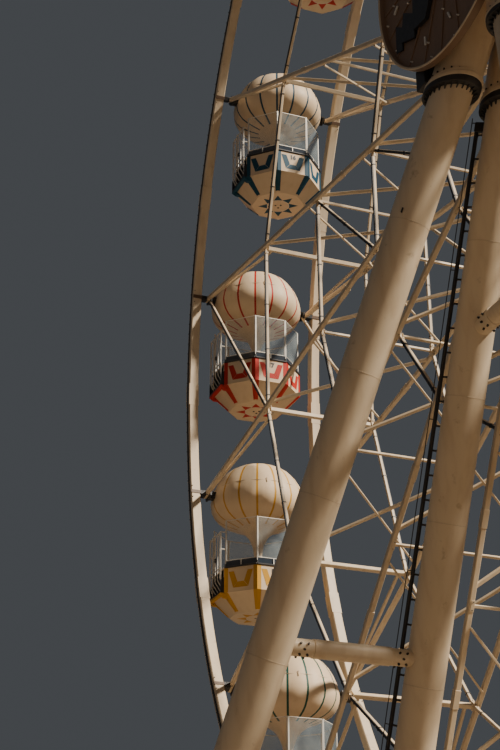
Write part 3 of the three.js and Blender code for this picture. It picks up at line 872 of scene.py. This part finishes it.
def addLeg(bm, sx, s, kind, bolts):
    radius, disc = kind["radius"], leg["disc"]
    head = legPoint(sx, s, kind, leg["head"] + 0.0003)
    foot = legPoint(sx, s, kind, wheel["hubHeight"] - 0.04)
    along = (foot - head).normalized()
    side = alongY.cross(along).normalized()
    up = along.cross(side)
    loft(bm, [levelRing(head, along, radius, 72), levelRing(foot, along, radius, 72)], 0)
    # dark head flange with ribs running down onto the leg
    levelDisc(bm, sx, s, kind, leg["head"] + 0.0003, leg["head"] + leg["discThickness"], disc - 0.004, 2)
    flange = legPoint(sx, s, kind, leg["head"] + leg["discThickness"] - 0.005)
    for out in circlePoints(origin, side, up, 1, leg["flangeRibs"]):
        corners = []
        for reach, run in ((radius - 0.006, 0.0), (disc - 0.02, 0.0), (disc - 0.04, 0.015), (radius - 0.006, 0.065)):
            spot = flange + out * reach
            corners.append(spot + along * ((flange.z - spot.z) / along.z + run))
        plate(bm, corners, along.cross(out) * 0.009, 2)
    for t in leg["welds"]:  # girth welds
        centre = head + along * t
        loft(bm, [[centre + out * (radius + h) + along * w for w, h in leg["bead"]]
                  for out in circlePoints(origin, side, up, 1, 72)], 1, closed=True)
    if kind is leg["outer"]:  # lifting lugs below the head
        for turn in leg["lugs"]:
            out, (half, thick, reach) = side * math.cos(turn) + up * math.sin(turn), leg["lug"]
            spot = head + along * leg["lugDrop"] + out * (radius - 0.004)
            barBetween(bm, spot - along * half, spot + along * half, thick, reach, out, 2, 0.003)
    base = legPoint(sx, s, kind, wheel["hubHeight"])
    edge, top = Vector((leg["foot"], leg["foot"], 0)), Vector((0, 0, leg["plate"]))
    blockBetween(bm, base - edge, base + edge + top, 0, 0.008)
    high, low = leg["gussetHeight"]
    lift = legPoint(sx, s, kind, wheel["hubHeight"] - 0.42) - base
    for k in range(leg["gussets"]):  # gusset plates round the foot
        out = flatOut(math.radians(45 * k + 22.5))
        inner, outer = (base + top - upward * 0.004 + out * r for r in leg["gussetReach"])
        plate(bm, [inner, outer, outer + upward * low, inner + Vector((lift.x, lift.y, high))],
              out.cross(upward) * 0.01, 0)
    near, far = leg["footBolts"]
    spots = [(a, b) for a in (-far, -near, near, far) for b in (-far, far)]
    spots += [(b, a) for a in (-near, near) for b in (-far, far)]
    bolts += [(base + top + Vector((dx, dy, 0.01)), upward) for dx, dy in spots]


def quincunx(bolts, spot, out, inward, radius):
    # five bolts as on a die, on the surface of a tube
    out = Vector(out).normalized()
    across = Vector(inward).cross(out)
    for run, turn in leg["quincunx"]:
        aim = (out * math.cos(turn) + across * math.sin(turn)).normalized()
        bolts.append((Vector(spot) + Vector(inward) * run + aim * radius, aim))


def showLegs(pieceName, label, bm, bolts, node):
    mesh = joinMeshes(label, [finishMesh(label, bm, legLooks),
                              heads(label + "Bolts", bolts, leg["bolt"], boltSteel)])
    showPiece(pieceName, mesh, "support", node)


def buildLegs():
    inner, outer, tilt = leg["inner"], leg["outer"], leg["boltTilt"]
    for side, s in sidesOfWheel:
        bm, bolts = bmesh.new(), []
        for sx in (-1, 1):
            addLeg(bm, sx, s, inner, bolts)
        z, skin = leg["tieHeight"], leg["tieRadius"] + leg["sleeveSkin"]
        drop = wheel["hubHeight"] - z
        tieX, y = leg["lean"] * drop, s * (inner["y"] + inner["lean"] * drop)
        roundBetween(bm, (-tieX, y, z), (tieX, y, z), leg["tieRadius"], 40)
        for sx in (-1, 1):  # bolted sleeve at each end of the tie
            edge = sx * (tieX - inner["radius"] - 0.03)
            roundBetween(bm, (sx * tieX, y, z), (edge - sx * leg["sleeve"], y, z), skin, 40, 0, 0.005)
            for out in (s, -s):
                quincunx(bolts, (edge - sx * leg["sleeve"] / 2, y, z), (0, out, tilt), (-sx, 0, 0), skin)
        showLegs(f"aFrameLegs_{side}", "aFrame", bm, bolts, f"a_frame_{side}")
        for end, sx in (("rear", -1), ("front", 1)):
            bm, bolts = bmesh.new(), []
            addLeg(bm, sx, s, outer, bolts)
            z, spigot, run = leg["axialHeight"], leg["spigot"], leg["spigotLength"]
            drop = wheel["hubHeight"] - z
            x = sx * leg["lean"] * drop
            far, near = outer["y"] + outer["lean"] * drop, inner["y"] + inner["lean"] * drop
            roundBetween(bm, (x, s * far, z), (x, s * (near + 0.12), z), spigot, 40)
            stops = (far - outer["radius"] - run, near + inner["radius"] + run)
            roundBetween(bm, (x, s * stops[0], z), (x, s * stops[1], z), leg["axialRadius"], 40, 0, 0.012)
            for y in (stops[0] + 0.14, stops[1] - 0.14):
                for out in (1, -1):
                    quincunx(bolts, (x, s * y, z), (out, 0, tilt), (0, s, 0), spigot)
            showLegs(f"outerLegTube_{side}_{end}", "outerLeg", bm, bolts, f"outer_leg_{side}_{end}")
    print("legs built")


# bearing heads: leg stubs gathered on a bored barrel
bearing = {"barrel": 0.5, "bore": 0.258, "near": 1.75, "far": 2.6, "clear": 0.39, "cap": (0.42, 0.034),
           "flangeRings": ((0.1, 0.056, 0.02), (0.05, 0.0, 0.0)),
           "boxes": (((0.95, 2.72, -1.80), (1.2, 2.99, -1.48)), ((0.83, 2.62, -1.74), (0.99, 2.91, -1.40))),
           "capBolts": (0.36, 18), "stubBolts": (0.328, 20), "bolt": (0.014, 0.03)}
stubs = [(sx, kind) for sx in (-1, 1) for kind in (leg["inner"], leg["outer"])]


def cutAway(mesh, cutter):
    # mesh less cutter, both closed
    holder, tool = linkNew("cutSeed", mesh), linkNew("cutTool", cutter)
    modifier = holder.modifiers.new("cut", "BOOLEAN")
    modifier.operation = "DIFFERENCE"
    modifier.solver = "EXACT"
    modifier.object = tool
    made = frozenMesh(holder)
    bpy.data.objects.remove(tool)
    return made


def boredStub(sx, s, kind, cutter):
    bm = bmesh.new()
    top, radius = leg["headTop"], leg["headRadius"]
    levelLoft(bm, sx, s, kind, ((top, radius - 0.03), (top + 0.03, radius), (leg["head"] - 0.09, radius)), 0)
    bm.transform(atHub.inverted())
    return cutAway(finishMesh("headStub", bm, [creamPaint]), cutter)


def buildBearings():
    bore, size, (capRadius, capDepth) = bearing["bore"], bearing["barrel"], bearing["cap"]
    for side, s in sidesOfWheel:
        near, far = s * bearing["near"], s * bearing["far"]
        bm = bmesh.new()
        turnedShape(bm, [(0, s * 1.3), (bearing["clear"], s * 1.3), (bearing["clear"], near), (bore, near),
                         (bore, s * 3.2), (0, s * 3.2)], 64, 0, axis="Y")
        cutter = finishMesh("boreTool", bm, [creamPaint])
        parts = [boredStub(sx, s, kind, cutter) for sx, kind in stubs]
        bm = bmesh.new()
        for sx, kind in stubs:  # double flange ring under each stub
            for top, low, inset in bearing["flangeRings"]:
                levelDisc(bm, sx, s, kind, leg["head"] - top, leg["head"] - low, leg["disc"] - inset, 0)
        bm.transform(atHub.inverted())
        # barrel with its bore left open for the shaft, and its cap plate
        section = ((bore, near), (size - 0.02, near), (size, near + s * 0.02), (size, far - s * 0.02),
                   (size - 0.02, far), (bore, far))
        loft(bm, [[polar(r, 360 * k / 64, y) for r, y in section] for k in range(64)], 0, closed=True)
        washer(bm, (0, far + s * 0.015, 0), alongY, bore + 0.002, capRadius, capDepth, 64, 1)
        for sx in (-1, 1):  # dark cable box and its stepped lug outboard of each outer stub
            for low, high in bearing["boxes"]:
                blockBetween(bm, mirrored(low, sx, s), mirrored(high, sx, s), 1, 0.01)
        bolts = boltRing((0, far + s * capDepth, 0), (0, s, 0), *bearing["capBolts"])
        for sx, kind in stubs:
            centre = legPoint(sx, s, kind, leg["head"] - 0.1) - atHub.translation
            radius, count = bearing["stubBolts"]
            bolts += [(centre + flatOut(2 * math.pi * k / count) * radius, upward) for k in range(count)]
        meshes = [finishMesh("bearingHead", bm, [creamPaint, blackPaint]),
                  heads("bearingBolts", bolts, bearing["bolt"], boltSteel), *parts]
        showAtHub(f"bearingHead_{side}", meshes, "support", f"bearing_{side}", "bearing")
    print("bearings built")


# ladder track on the rear inner leg
ladder = {"facing": (-0.69, -0.66, 0.28), "fromDrop": 2.2, "aboveGround": 0.9, "reach": 0.372, "rail": 0.028,
          "rungGap": 0.32, "rung": 0.013, "rungLength": 0.062, "lug": 0.014, "lugFoot": 0.256, "wireReach": 0.455,
          "wireFoot": 0.36, "wire": 0.007, "wireClips": 8}


def buildLadder():
    out = Vector(ladder["facing"]).normalized()
    top = legPoint(-1, -1, leg["inner"], ladder["fromDrop"])
    foot = legPoint(-1, -1, leg["inner"], wheel["hubHeight"] - ladder["aboveGround"])
    across = (foot - top).normalized().cross(out).normalized()
    reach, wireReach, clips = ladder["reach"], ladder["wireReach"], ladder["wireClips"]

    def at(t, away, shift=0.0):
        return top.lerp(foot, t) + out * away + across * shift

    count = int((foot - top).length / ladder["rungGap"])
    steps = [(k + 0.5) / count for k in range(count)]
    wirePaths = [[at(-0.004, wireReach), at(1.0, wireReach)]]
    wirePaths += [[at(t / clips, wireReach), at(t / clips, ladder["wireFoot"])] for t in range(clips + 1)]
    bm = bmesh.new()
    barBetween(bm, at(0.0, 0.31), at(0.008, 0.31), 0.12, 0.16, out, 0, 0.008)
    mesh = joinMeshes("ladder", [
        tubes("railTube", [[at(0, reach), at(1, reach)]], ladder["rail"], blackPaint, 12),
        tubes("railRungs", [[at(t, reach), at(t, reach, ladder["rungLength"])] for t in steps], ladder["rung"],
              blackPaint),
        tubes("railLugs", [[at(t, ladder["lugFoot"]), at(t, reach)] for t in steps], ladder["lug"], blackPaint),
        tubes("railWire", wirePaths, ladder["wire"], blackPaint, 6),
        finishMesh("railClamp", bm, [blackPaint])])
    showPiece("ladderRail", mesh, "support", "ladder_track")
    print("ladder built")


# cabins, each modelled about its axle
cabin = {"corner": 0.95, "footCorner": 0.59, "wall": 0.042, "rim": -1.64, "knee": -2.18, "bottom": -2.52,
         "windowTop": -0.63, "windowBottom": -1.5, "gateSide": 6, "pocket": (0.32, -2.12, -1.67),
         "pocketDepth": (-0.872, -0.775), "pilaster": 0.085, "faceWidth": 0.727, "paint": (-0.004, 0.003),
         "star": (0.24, 0.09, 0.44), "underRing": (0.235, 0.245, 0.006), "plug": 0.022,
         "plugs": ((-0.07, 0.03), (0.05, 0.045), (0.0, -0.06)), "post": 0.011, "frameEdge": 0.045, "frameLift": -0.03}
openSides = [k for k in range(8) if k != cabin["gateSide"]]


def corner(k, r, z):
    return polarFlat(r, math.radians(22.5 + 45 * k), z)


def onFace(k, u, z, lift=0.0):
    # point on the upright band of face k (normal at 45k degrees): u across, z its height
    spot = corner(k - 1, cabin["corner"], z).lerp(corner(k, cabin["corner"], z), u)
    return spot + flatOut(math.radians(45 * k)) * lift


def facePoint(k, u, v, lift=0.0):
    # the same with v from the rim down to the knee
    return onFace(k, u, cabin["rim"] + (cabin["knee"] - cabin["rim"]) * v, lift)


def taperPoint(k, u, v, lift=0.0):
    # point on the tapered panel of face k; v from knee down to the foot
    r = cabin["corner"] + (cabin["footCorner"] - cabin["corner"]) * v
    z = cabin["knee"] + (cabin["bottom"] - cabin["knee"]) * v
    fall = math.atan2(0.34, 0.333)
    spot = corner(k - 1, r, z).lerp(corner(k, r, z), u)
    return spot + flatOut(math.radians(45 * k)) * (lift * math.sin(fall)) - Vector((0, 0, lift * math.cos(fall)))


def decal(bm, pointOn, k, outline):
    # painted shape that stands just proud of its face
    slab(bm, *[[pointOn(k, u, v, lift) for u, v in outline] for lift in cabin["paint"]], 1)


def tubShell():
    bm = bmesh.new()
    outer, foot, wall, knee = cabin["corner"], cabin["footCorner"], cabin["wall"], cabin["knee"]
    stations = ((foot, cabin["bottom"]), (outer, knee), (outer, cabin["rim"]), (outer - wall, cabin["rim"]),
                (outer - wall, knee - 0.016), (foot - 0.016, cabin["bottom"] + wall))
    loft(bm, [[corner(k, r, z) for k in range(8)] for r, z in stations], 0)
    shell = finishMesh("tubShell", bm, [shellCream])
    half, low, high = cabin["pocket"]
    bm = bmesh.new()
    blockBetween(bm, (-half, -1.1, low), (half, -0.7, high), 0, 0.012)
    return cutAway(shell, finishMesh("pocketTool", bm, [shellCream]))


def addPocket(bm):
    # black lining of the pocket let into the gate side
    (half, low, high), (outer, back) = cabin["pocket"], cabin["pocketDepth"]
    wide, low, high = half + 0.008, low - 0.008, high + 0.008
    blockBetween(bm, (-wide, back - 0.008, low), (wide, back, high), 2, 0.002)
    for x in (-half - 0.004, half + 0.004):
        blockBetween(bm, (x - 0.005, outer, low), (x + 0.005, back, high), 2, 0.002)
    for z in (low + 0.004, high - 0.004):
        blockBetween(bm, (-wide, outer, z - 0.005), (wide, back, z + 0.005), 2, 0.002)


def addPaint(bm):
    width, gap = cabin["pilaster"] / cabin["faceWidth"], 0.006
    # the U figure: two slanted legs and a foot bar, mitred with a fine gap
    leftLeg = [(0.13, 0.2), (0.29, 0.2), (0.40, 0.62 - gap), (0.272, 0.84 - gap)]
    rightLeg = [(1 - u, v) for u, v in leftLeg]
    footBar = [(0.40 + gap, 0.62), (0.60 - gap, 0.62), (0.728 - gap, 0.84), (0.272 + gap, 0.84)]
    for k in range(8):
        for u0, u1 in ((-0.004, width), (1 - width, 1.004)):  # corner strips on band and taper
            if k in openSides:
                decal(bm, facePoint, k, ((u0, 0), (u1, 0), (u1, 1), (u0, 1)))
            t0, t1 = (u0, u1 * 0.92) if u0 < 0.5 else (1 - (1 - u0) * 0.92, u1)
            decal(bm, taperPoint, k, ((u0, 0), (u1, 0), (t1, 0.93), (t0, 0.93)))
        if k in openSides:
            for outline in (leftLeg, rightLeg, footBar):
                decal(bm, facePoint, k, outline)
            # bead between band and taper
            barBetween(bm, facePoint(k, 0.1, 0.995, 0.001), facePoint(k, 0.9, 0.995, 0.001), 0.012, 0.012,
                       upward, 0, 0.003)


def addUnderside(bm):
    # star on the flat bottom, hub plate and three drain plugs
    z, (near, half, far) = cabin["bottom"], cabin["star"]
    for k in range(8):
        out = flatOut(math.radians(22.5 + 45 * k))
        across = Vector((-out.y, out.x, 0))
        outline = [out * near - across * half, out * near + across * half, out * far]
        slab(bm, *[[p + Vector((0, 0, z + h)) for p in outline] for h in (0.004, -0.003)], 1)
    washer(bm, (0, 0, z - 0.001), upward, *cabin["underRing"], 48, 3)
    for x, y in cabin["plugs"]:
        roundBetween(bm, (x, y, z + 0.004), (x, y, z - 0.006), cabin["plug"], 16, 2)


def addFrames(bm):
    sill, top, low = cabin["rim"], cabin["windowTop"], cabin["windowBottom"]
    edge, lift = cabin["frameEdge"], cabin["frameLift"]
    for k in openSides:  # black rail round the rim, and a bracket up to each window
        barBetween(bm, onFace(k, 0, sill - 0.01), onFace(k, 1, sill - 0.01), 0.048, 0.036, upward, 2, 0.008)
        barBetween(bm, onFace(k, 0.5, sill, -0.018), onFace(k, 0.5, low, -0.018), 0.022, 0.012,
                   flatOut(math.radians(45 * k)), 3, 0.003)
    for k in range(8):  # posts in their black sockets
        for z0, z1, radius, look in ((sill - 0.01, top, cabin["post"], 3), (sill - 0.02, sill + 0.07, 0.022, 2)):
            roundBetween(bm, corner(k, cabin["corner"] - 0.035, z0), corner(k, cabin["corner"] - 0.035, z1), radius,
                         12, look)
    top -= 0.012
    for k in openSides:  # window frames
        normal = flatOut(math.radians(45 * k))
        for z in (top, low):
            barBetween(bm, onFace(k, edge, z, lift), onFace(k, 1 - edge, z, lift), 0.014, 0.012, normal, 3, 0.002)
        for u in (edge, 1 - edge):
            barBetween(bm, onFace(k, u, low, lift), onFace(k, u, top, lift), 0.012, 0.012, normal, 3, 0.002)


def tubMesh():
    # looks: 0 cream, 1 accent, 2 black, 3 pale metal
    bm = bmesh.new()
    for addPart in (addPocket, addPaint, addUnderside, addFrames):
        addPart(bm)
    roundBetween(bm, (0, 0, cabin["bottom"] + 0.04), (0, 0, cabin["bottom"] + 0.056), 0.16, 32, 3)  # pole foot
    trim = finishMesh("tubTrim", bm, [shellCream, accents["red"], blackPaint, paleMetal])
    return joinMeshes("tub", [tubShell(), trim])


gate = {"face": -0.944, "half": 0.335, "bars": (-0.28, -0.14, 0.0, 0.14, 0.28), "bar": 0.011, "rail": 0.013,
        "top": -0.88, "middle": -1.25, "low": -1.64, "back": -0.85, "lip": -0.955,
        "barFoot": ((-0.944, -1.84), (-0.932, -1.88), (-0.81, -2.06), (-0.80, -2.09), (-0.785, -2.085)),
        "postFoot": ((-0.944, -1.86), (-0.885, -2.0)), "cheek": (0.352, 0.009), "cheekHeights": (-1.84, -1.9, -2.17),
        "sills": ((0.35, -0.957, 0.004, -2.165, -2.135, 0, 0.006), (0.365, -0.9595, 0.01, -2.215, -2.165, 1, 0.01)),
        "latch": ((-0.03, -0.956, -1.45), (0.03, -0.924, -1.36)), "corner": ((-2.20, -0.955, 0.28, 0.372),
                                                                             (-2.27, -0.87, 0.27, 0.35)),
        "cornerDepth": 0.09}


def gateMesh():
    # barred gate on the -Y face: upright bars that slant back into the black pocket
    y, half, top, lip = gate["face"], gate["half"], gate["top"], gate["lip"]
    bars = tubes("gateBars", [[(x, *spot) for spot in ((y, top), *gate["barFoot"])] for x in gate["bars"]],
                 gate["bar"], paleMetal, 10)
    rails = [[(-half, y, z), (half, y, z)] for z in (top, gate["low"])]
    for x in (-half, half):
        rails.append([(x, *spot) for spot in ((gate["back"], top), (y, top), *gate["postFoot"])])
        rails.append([(x, gate["back"], gate["middle"]), (x, y, gate["middle"])])
    frameBars = tubes("gateRails", rails, gate["rail"], paleMetal, 10)
    bm = bmesh.new()
    face = -cabin["corner"] * math.cos(math.radians(22.5))
    (wide, half), (high, front, low), back = gate["cheek"], gate["cheekHeights"], face + 0.006
    for x in (-wide, wide):  # black cheeks
        plate(bm, [Vector((x, *spot)) for spot in ((back, high), (lip, front), (lip, low), (back, low))],
              Vector((half, 0, 0)), 0)
    for wide, front, behind, low, high, look, cut in gate["sills"]:  # lower lip and coloured sill
        blockBetween(bm, (-wide, front, low), (wide, face + behind, high), look, cut)
    blockBetween(bm, *gate["latch"], 0, 0.005)
    deep = gate["cornerDepth"]
    for s in (-1, 1):  # coloured corner blocks where the sill meets the taper
        loft(bm, [[Vector((s * x, y, z)) for x, y in ((near, back), (far, back), (far, back + deep),
                                                      (near, back + deep))]
                  for z, back, near, far in gate["corner"]], 1)
    pocket = finishMesh("gatePocket", bm, [blackPaint, accents["red"]])
    return joinMeshes("gate", [bars, frameBars, pocket])


def glassMesh():
    # clear panels, and the smoked strip between rail and window
    bm = bmesh.new()
    panes = ((0.06, cabin["windowBottom"] + 0.006, cabin["windowTop"] - 0.02, (-0.034, -0.026)),
             (0.04, cabin["rim"] + 0.015, -1.512, (-0.04, -0.03)))
    for look, (edge, low, high, lifts) in enumerate(panes):
        outline = ((edge, low), (1 - edge, low), (1 - edge, high), (edge, high))
        for k in openSides:
            slab(bm, *[[onFace(k, u, z, lift) for u, z in outline] for lift in lifts], look)
    return finishMesh("glass", bm, [glassPanel, smokedPanel])


canopy = {"gores": 16, "parts": 7, "tape": 0.021, "puff": 0.016, "puffedRows": 15, "column": 0.085, "axle": 0.04,
          "axleRun": (0.9, 1.1255), "boss": ((-0.075, 0.95, -0.085), (0.075, 1.072, 0.075)), "collar": (-1.5, 0.14),
          "joint": (0.15, 0.885, 0.9415, 0.006), "plug": (0.76, 0.782, 0.07), "eyes": 4,
          "eyeBars": (((0.9, 0.20), (0.947, 0.20)), ((0.9, 0.11), (0.968, 0.11)), ((0.945, 0.205), (0.966, 0.105))),
          "profile": ((0.06, 0.77), (0.155, 0.764), (0.305, 0.742), (0.445, 0.70), (0.575, 0.635), (0.70, 0.545),
                      (0.80, 0.43), (0.885, 0.29), (0.943, 0.15), (0.98, 0.02), (1.0, -0.10), (0.982, -0.22),
                      (0.93, -0.33), (0.85, -0.425), (0.75, -0.49), (0.64, -0.54), (0.53, -0.58), (0.43, -0.62),
                      (0.345, -0.67), (0.265, -0.73), (0.205, -0.80), (0.15, -0.90), (0.108, -1.02), (0.09, -1.14))}


def goreRow(bm, index, r, z):
    # one ring of the canopy: each seam's tape, then the gore that swells beside it
    gores, parts, fade = canopy["gores"], canopy["parts"], 1 - (index - canopy["puffedRows"]) / 4
    puff = canopy["puff"] * min(1.0, r / 0.6) * min(1, max(0, fade))
    half = min(canopy["tape"] / r, math.pi / gores * 0.36)
    span = 2 * math.pi / gores
    row = []
    for g in range(gores):
        angles = [-half, half] + [half + (span - 2 * half) * j / (parts - 1) for j in range(1, parts - 1)]
        for t in angles:
            share = (t / span) % 1
            swell = math.sin(math.pi * share) ** 0.5 if 0 < share < 1 else 0
            row.append(bm.verts.new(polarFlat(r - puff + puff * swell, span * g + t, z)))
    return row


def canopyMesh():
    # puffed gores with a coloured tape on each seam, drawn in to a plain trumpet and column below
    bm = bmesh.new()
    column, foot = canopy["column"], cabin["bottom"] + 0.05
    profile = [*canopy["profile"], (column, -1.19), (column, foot)]
    rows = [goreRow(bm, index, r, z) for index, (r, z) in enumerate(profile)]
    count = len(rows[0])
    top, low = bm.verts.new((0, 0, 0.772)), bm.verts.new((0, 0, foot))
    for index, (near, far) in enumerate(zip(rows, rows[1:])):
        for k in range(count):
            m = (k + 1) % count
            made = bm.faces.new((near[k], near[m], far[m], far[k]))
            made.material_index = 1 if k % canopy["parts"] == 0 and index < canopy["puffedRows"] + 2 else 0
    for k in range(count):
        m = (k + 1) % count
        bm.faces.new((top, rows[0][m], rows[0][k]))
        bm.faces.new((low, rows[-1][k], rows[-1][m]))
    z, *ringSize = canopy["joint"]
    washer(bm, (0, 0, z), upward, *ringSize, 96, 2)  # shell joint
    for k in range(canopy["eyes"]):
        t = math.radians(-10 + 360 / canopy["eyes"] * k)
        for near, far in canopy["eyeBars"]:
            roundBetween(bm, polarFlat(near[0], t, near[1]), polarFlat(far[0], t, far[1]), 0.006, 8, 2)
    # crown plug, black neck collar, and the axle with its bosses on the two flanks
    low, high, radius = canopy["plug"]
    roundBetween(bm, (0, 0, low), (0, 0, high), radius, 32, 2, 0.006)
    washer(bm, (0, 0, canopy["collar"][0]), upward, column - 0.01, column + 0.024, canopy["collar"][1], 32, 3)
    (near, far), (low, high) = canopy["axleRun"], canopy["boss"]
    for s in (-1, 1):
        roundBetween(bm, (0, s * near, 0), (0, s * far, 0), canopy["axle"], 24, 3)
        blockBetween(bm, mirrored(low, 1, s), mirrored(high, 1, s), 3, 0.014)
    return finishMesh("canopy", bm, [canopyCream, accents["red"], weldSteel, blackPaint], 30)


digits = {"size": 0.135, "bold": 0.009, "depth": 0.0015, "faces": (0, 4), "down": 0.28}


def numberMesh(number):
    words = bpy.data.curves.new("digits", "FONT")
    words.body = str(number)
    words.size, words.offset, words.extrude = digits["size"], digits["bold"], digits["depth"]
    words.resolution_u = 3
    words.align_x = words.align_y = "CENTER"
    mesh = frozenMesh(linkNew("digits", words))
    mesh.materials.clear()
    mesh.materials.append(blackPaint)
    upright = Matrix.Rotation(math.radians(90), 4, "X")
    meshes = []
    for k in digits["faces"]:
        copy = mesh.copy()
        copy.transform(Matrix.Translation(facePoint(k, 0.5, digits["down"], 0.0035))
                       @ Matrix.Rotation(math.radians(45 * k + 90), 4, "Z") @ upright)
        meshes.append(copy)
    return joinMeshes("digits", meshes)


axleBlock = {"ring": (1.1035, 0.052, 0.11, 0.044), "lug": ((0.07, 1.082, -0.075), (0.15, 1.1255, 0.075))}


def axleBearings():
    # bearing blocks on the spokes, round the cabin's axle
    bm = bmesh.new()
    (y, *ringSize), (low, high) = axleBlock["ring"], axleBlock["lug"]
    for s in (-1, 1):
        washer(bm, (0, s * y, 0), alongY, *ringSize, 28, 0)
        for x in (-1, 1):
            blockBetween(bm, mirrored(low, x, s), mirrored(high, x, s), 0, 0.008)
    return finishMesh("axleBearings", bm, [blackPaint])


def buildCabins():
    parts = (("tub", tubMesh()), ("gate", gateMesh()), ("glass", glassMesh()), ("canopy", canopyMesh()))
    carrier = axleBearings()
    for k in spokeNumbers:
        spot = polar(wheel["radius"], spokeAngle(k))
        place = Matrix.Translation((spot.x, 0, spot.z + wheel["hubHeight"]))
        accent = accents[accentOrder[k % len(accentOrder)]]
        body = f"cabin_{k:02d}_body"
        for label, mesh in parts:
            copy = mesh.copy()
            for index, look in enumerate(copy.materials):
                if look == accents["red"]:
                    copy.materials[index] = accent
            copy.transform(place)
            showPiece(f"cabin{label.capitalize()}_{k:02d}", copy, body, f"cabin_{k:02d}" if label == "tub" else None)
        number = numberMesh(k)
        number.transform(place)
        showPiece(f"cabinNumber_{k:02d}", number, body, None)
        copy = carrier.copy()
        copy.transform(turnWheel(spokeAngle(k)) @ Matrix.Translation((wheel["radius"], 0, 0)))
        showPiece(f"axleBearings_{k:02d}", copy, "wheel", None)
    print("cabins built")


def layFloor():
    floorSize = {"low": (-24, -18, -0.06), "high": (24, 18, -0.002)}
    bm = bmesh.new()
    blockBetween(bm, floorSize["low"], floorSize["high"], 0, 0.001)
    made = bpy.data.materials.new("paleFloor")
    made.use_nodes = True
    shader = made.node_tree.nodes["Principled BSDF"]
    shader.inputs["Base Color"].default_value = (0.32, 0.25, 0.175, 1)
    shader.inputs["Roughness"].default_value = 0.8
    linkNew("floor", finishMesh("floor", bm, [made]))


placeCamera()
placeLight()
layFloor()
print("camera, light and floor placed")
buildSpokes()
buildRims()
buildRings()
buildHub()
buildDishes()
buildLegs()
buildBearings()
buildLadder()
buildCabins()

print("scene built")
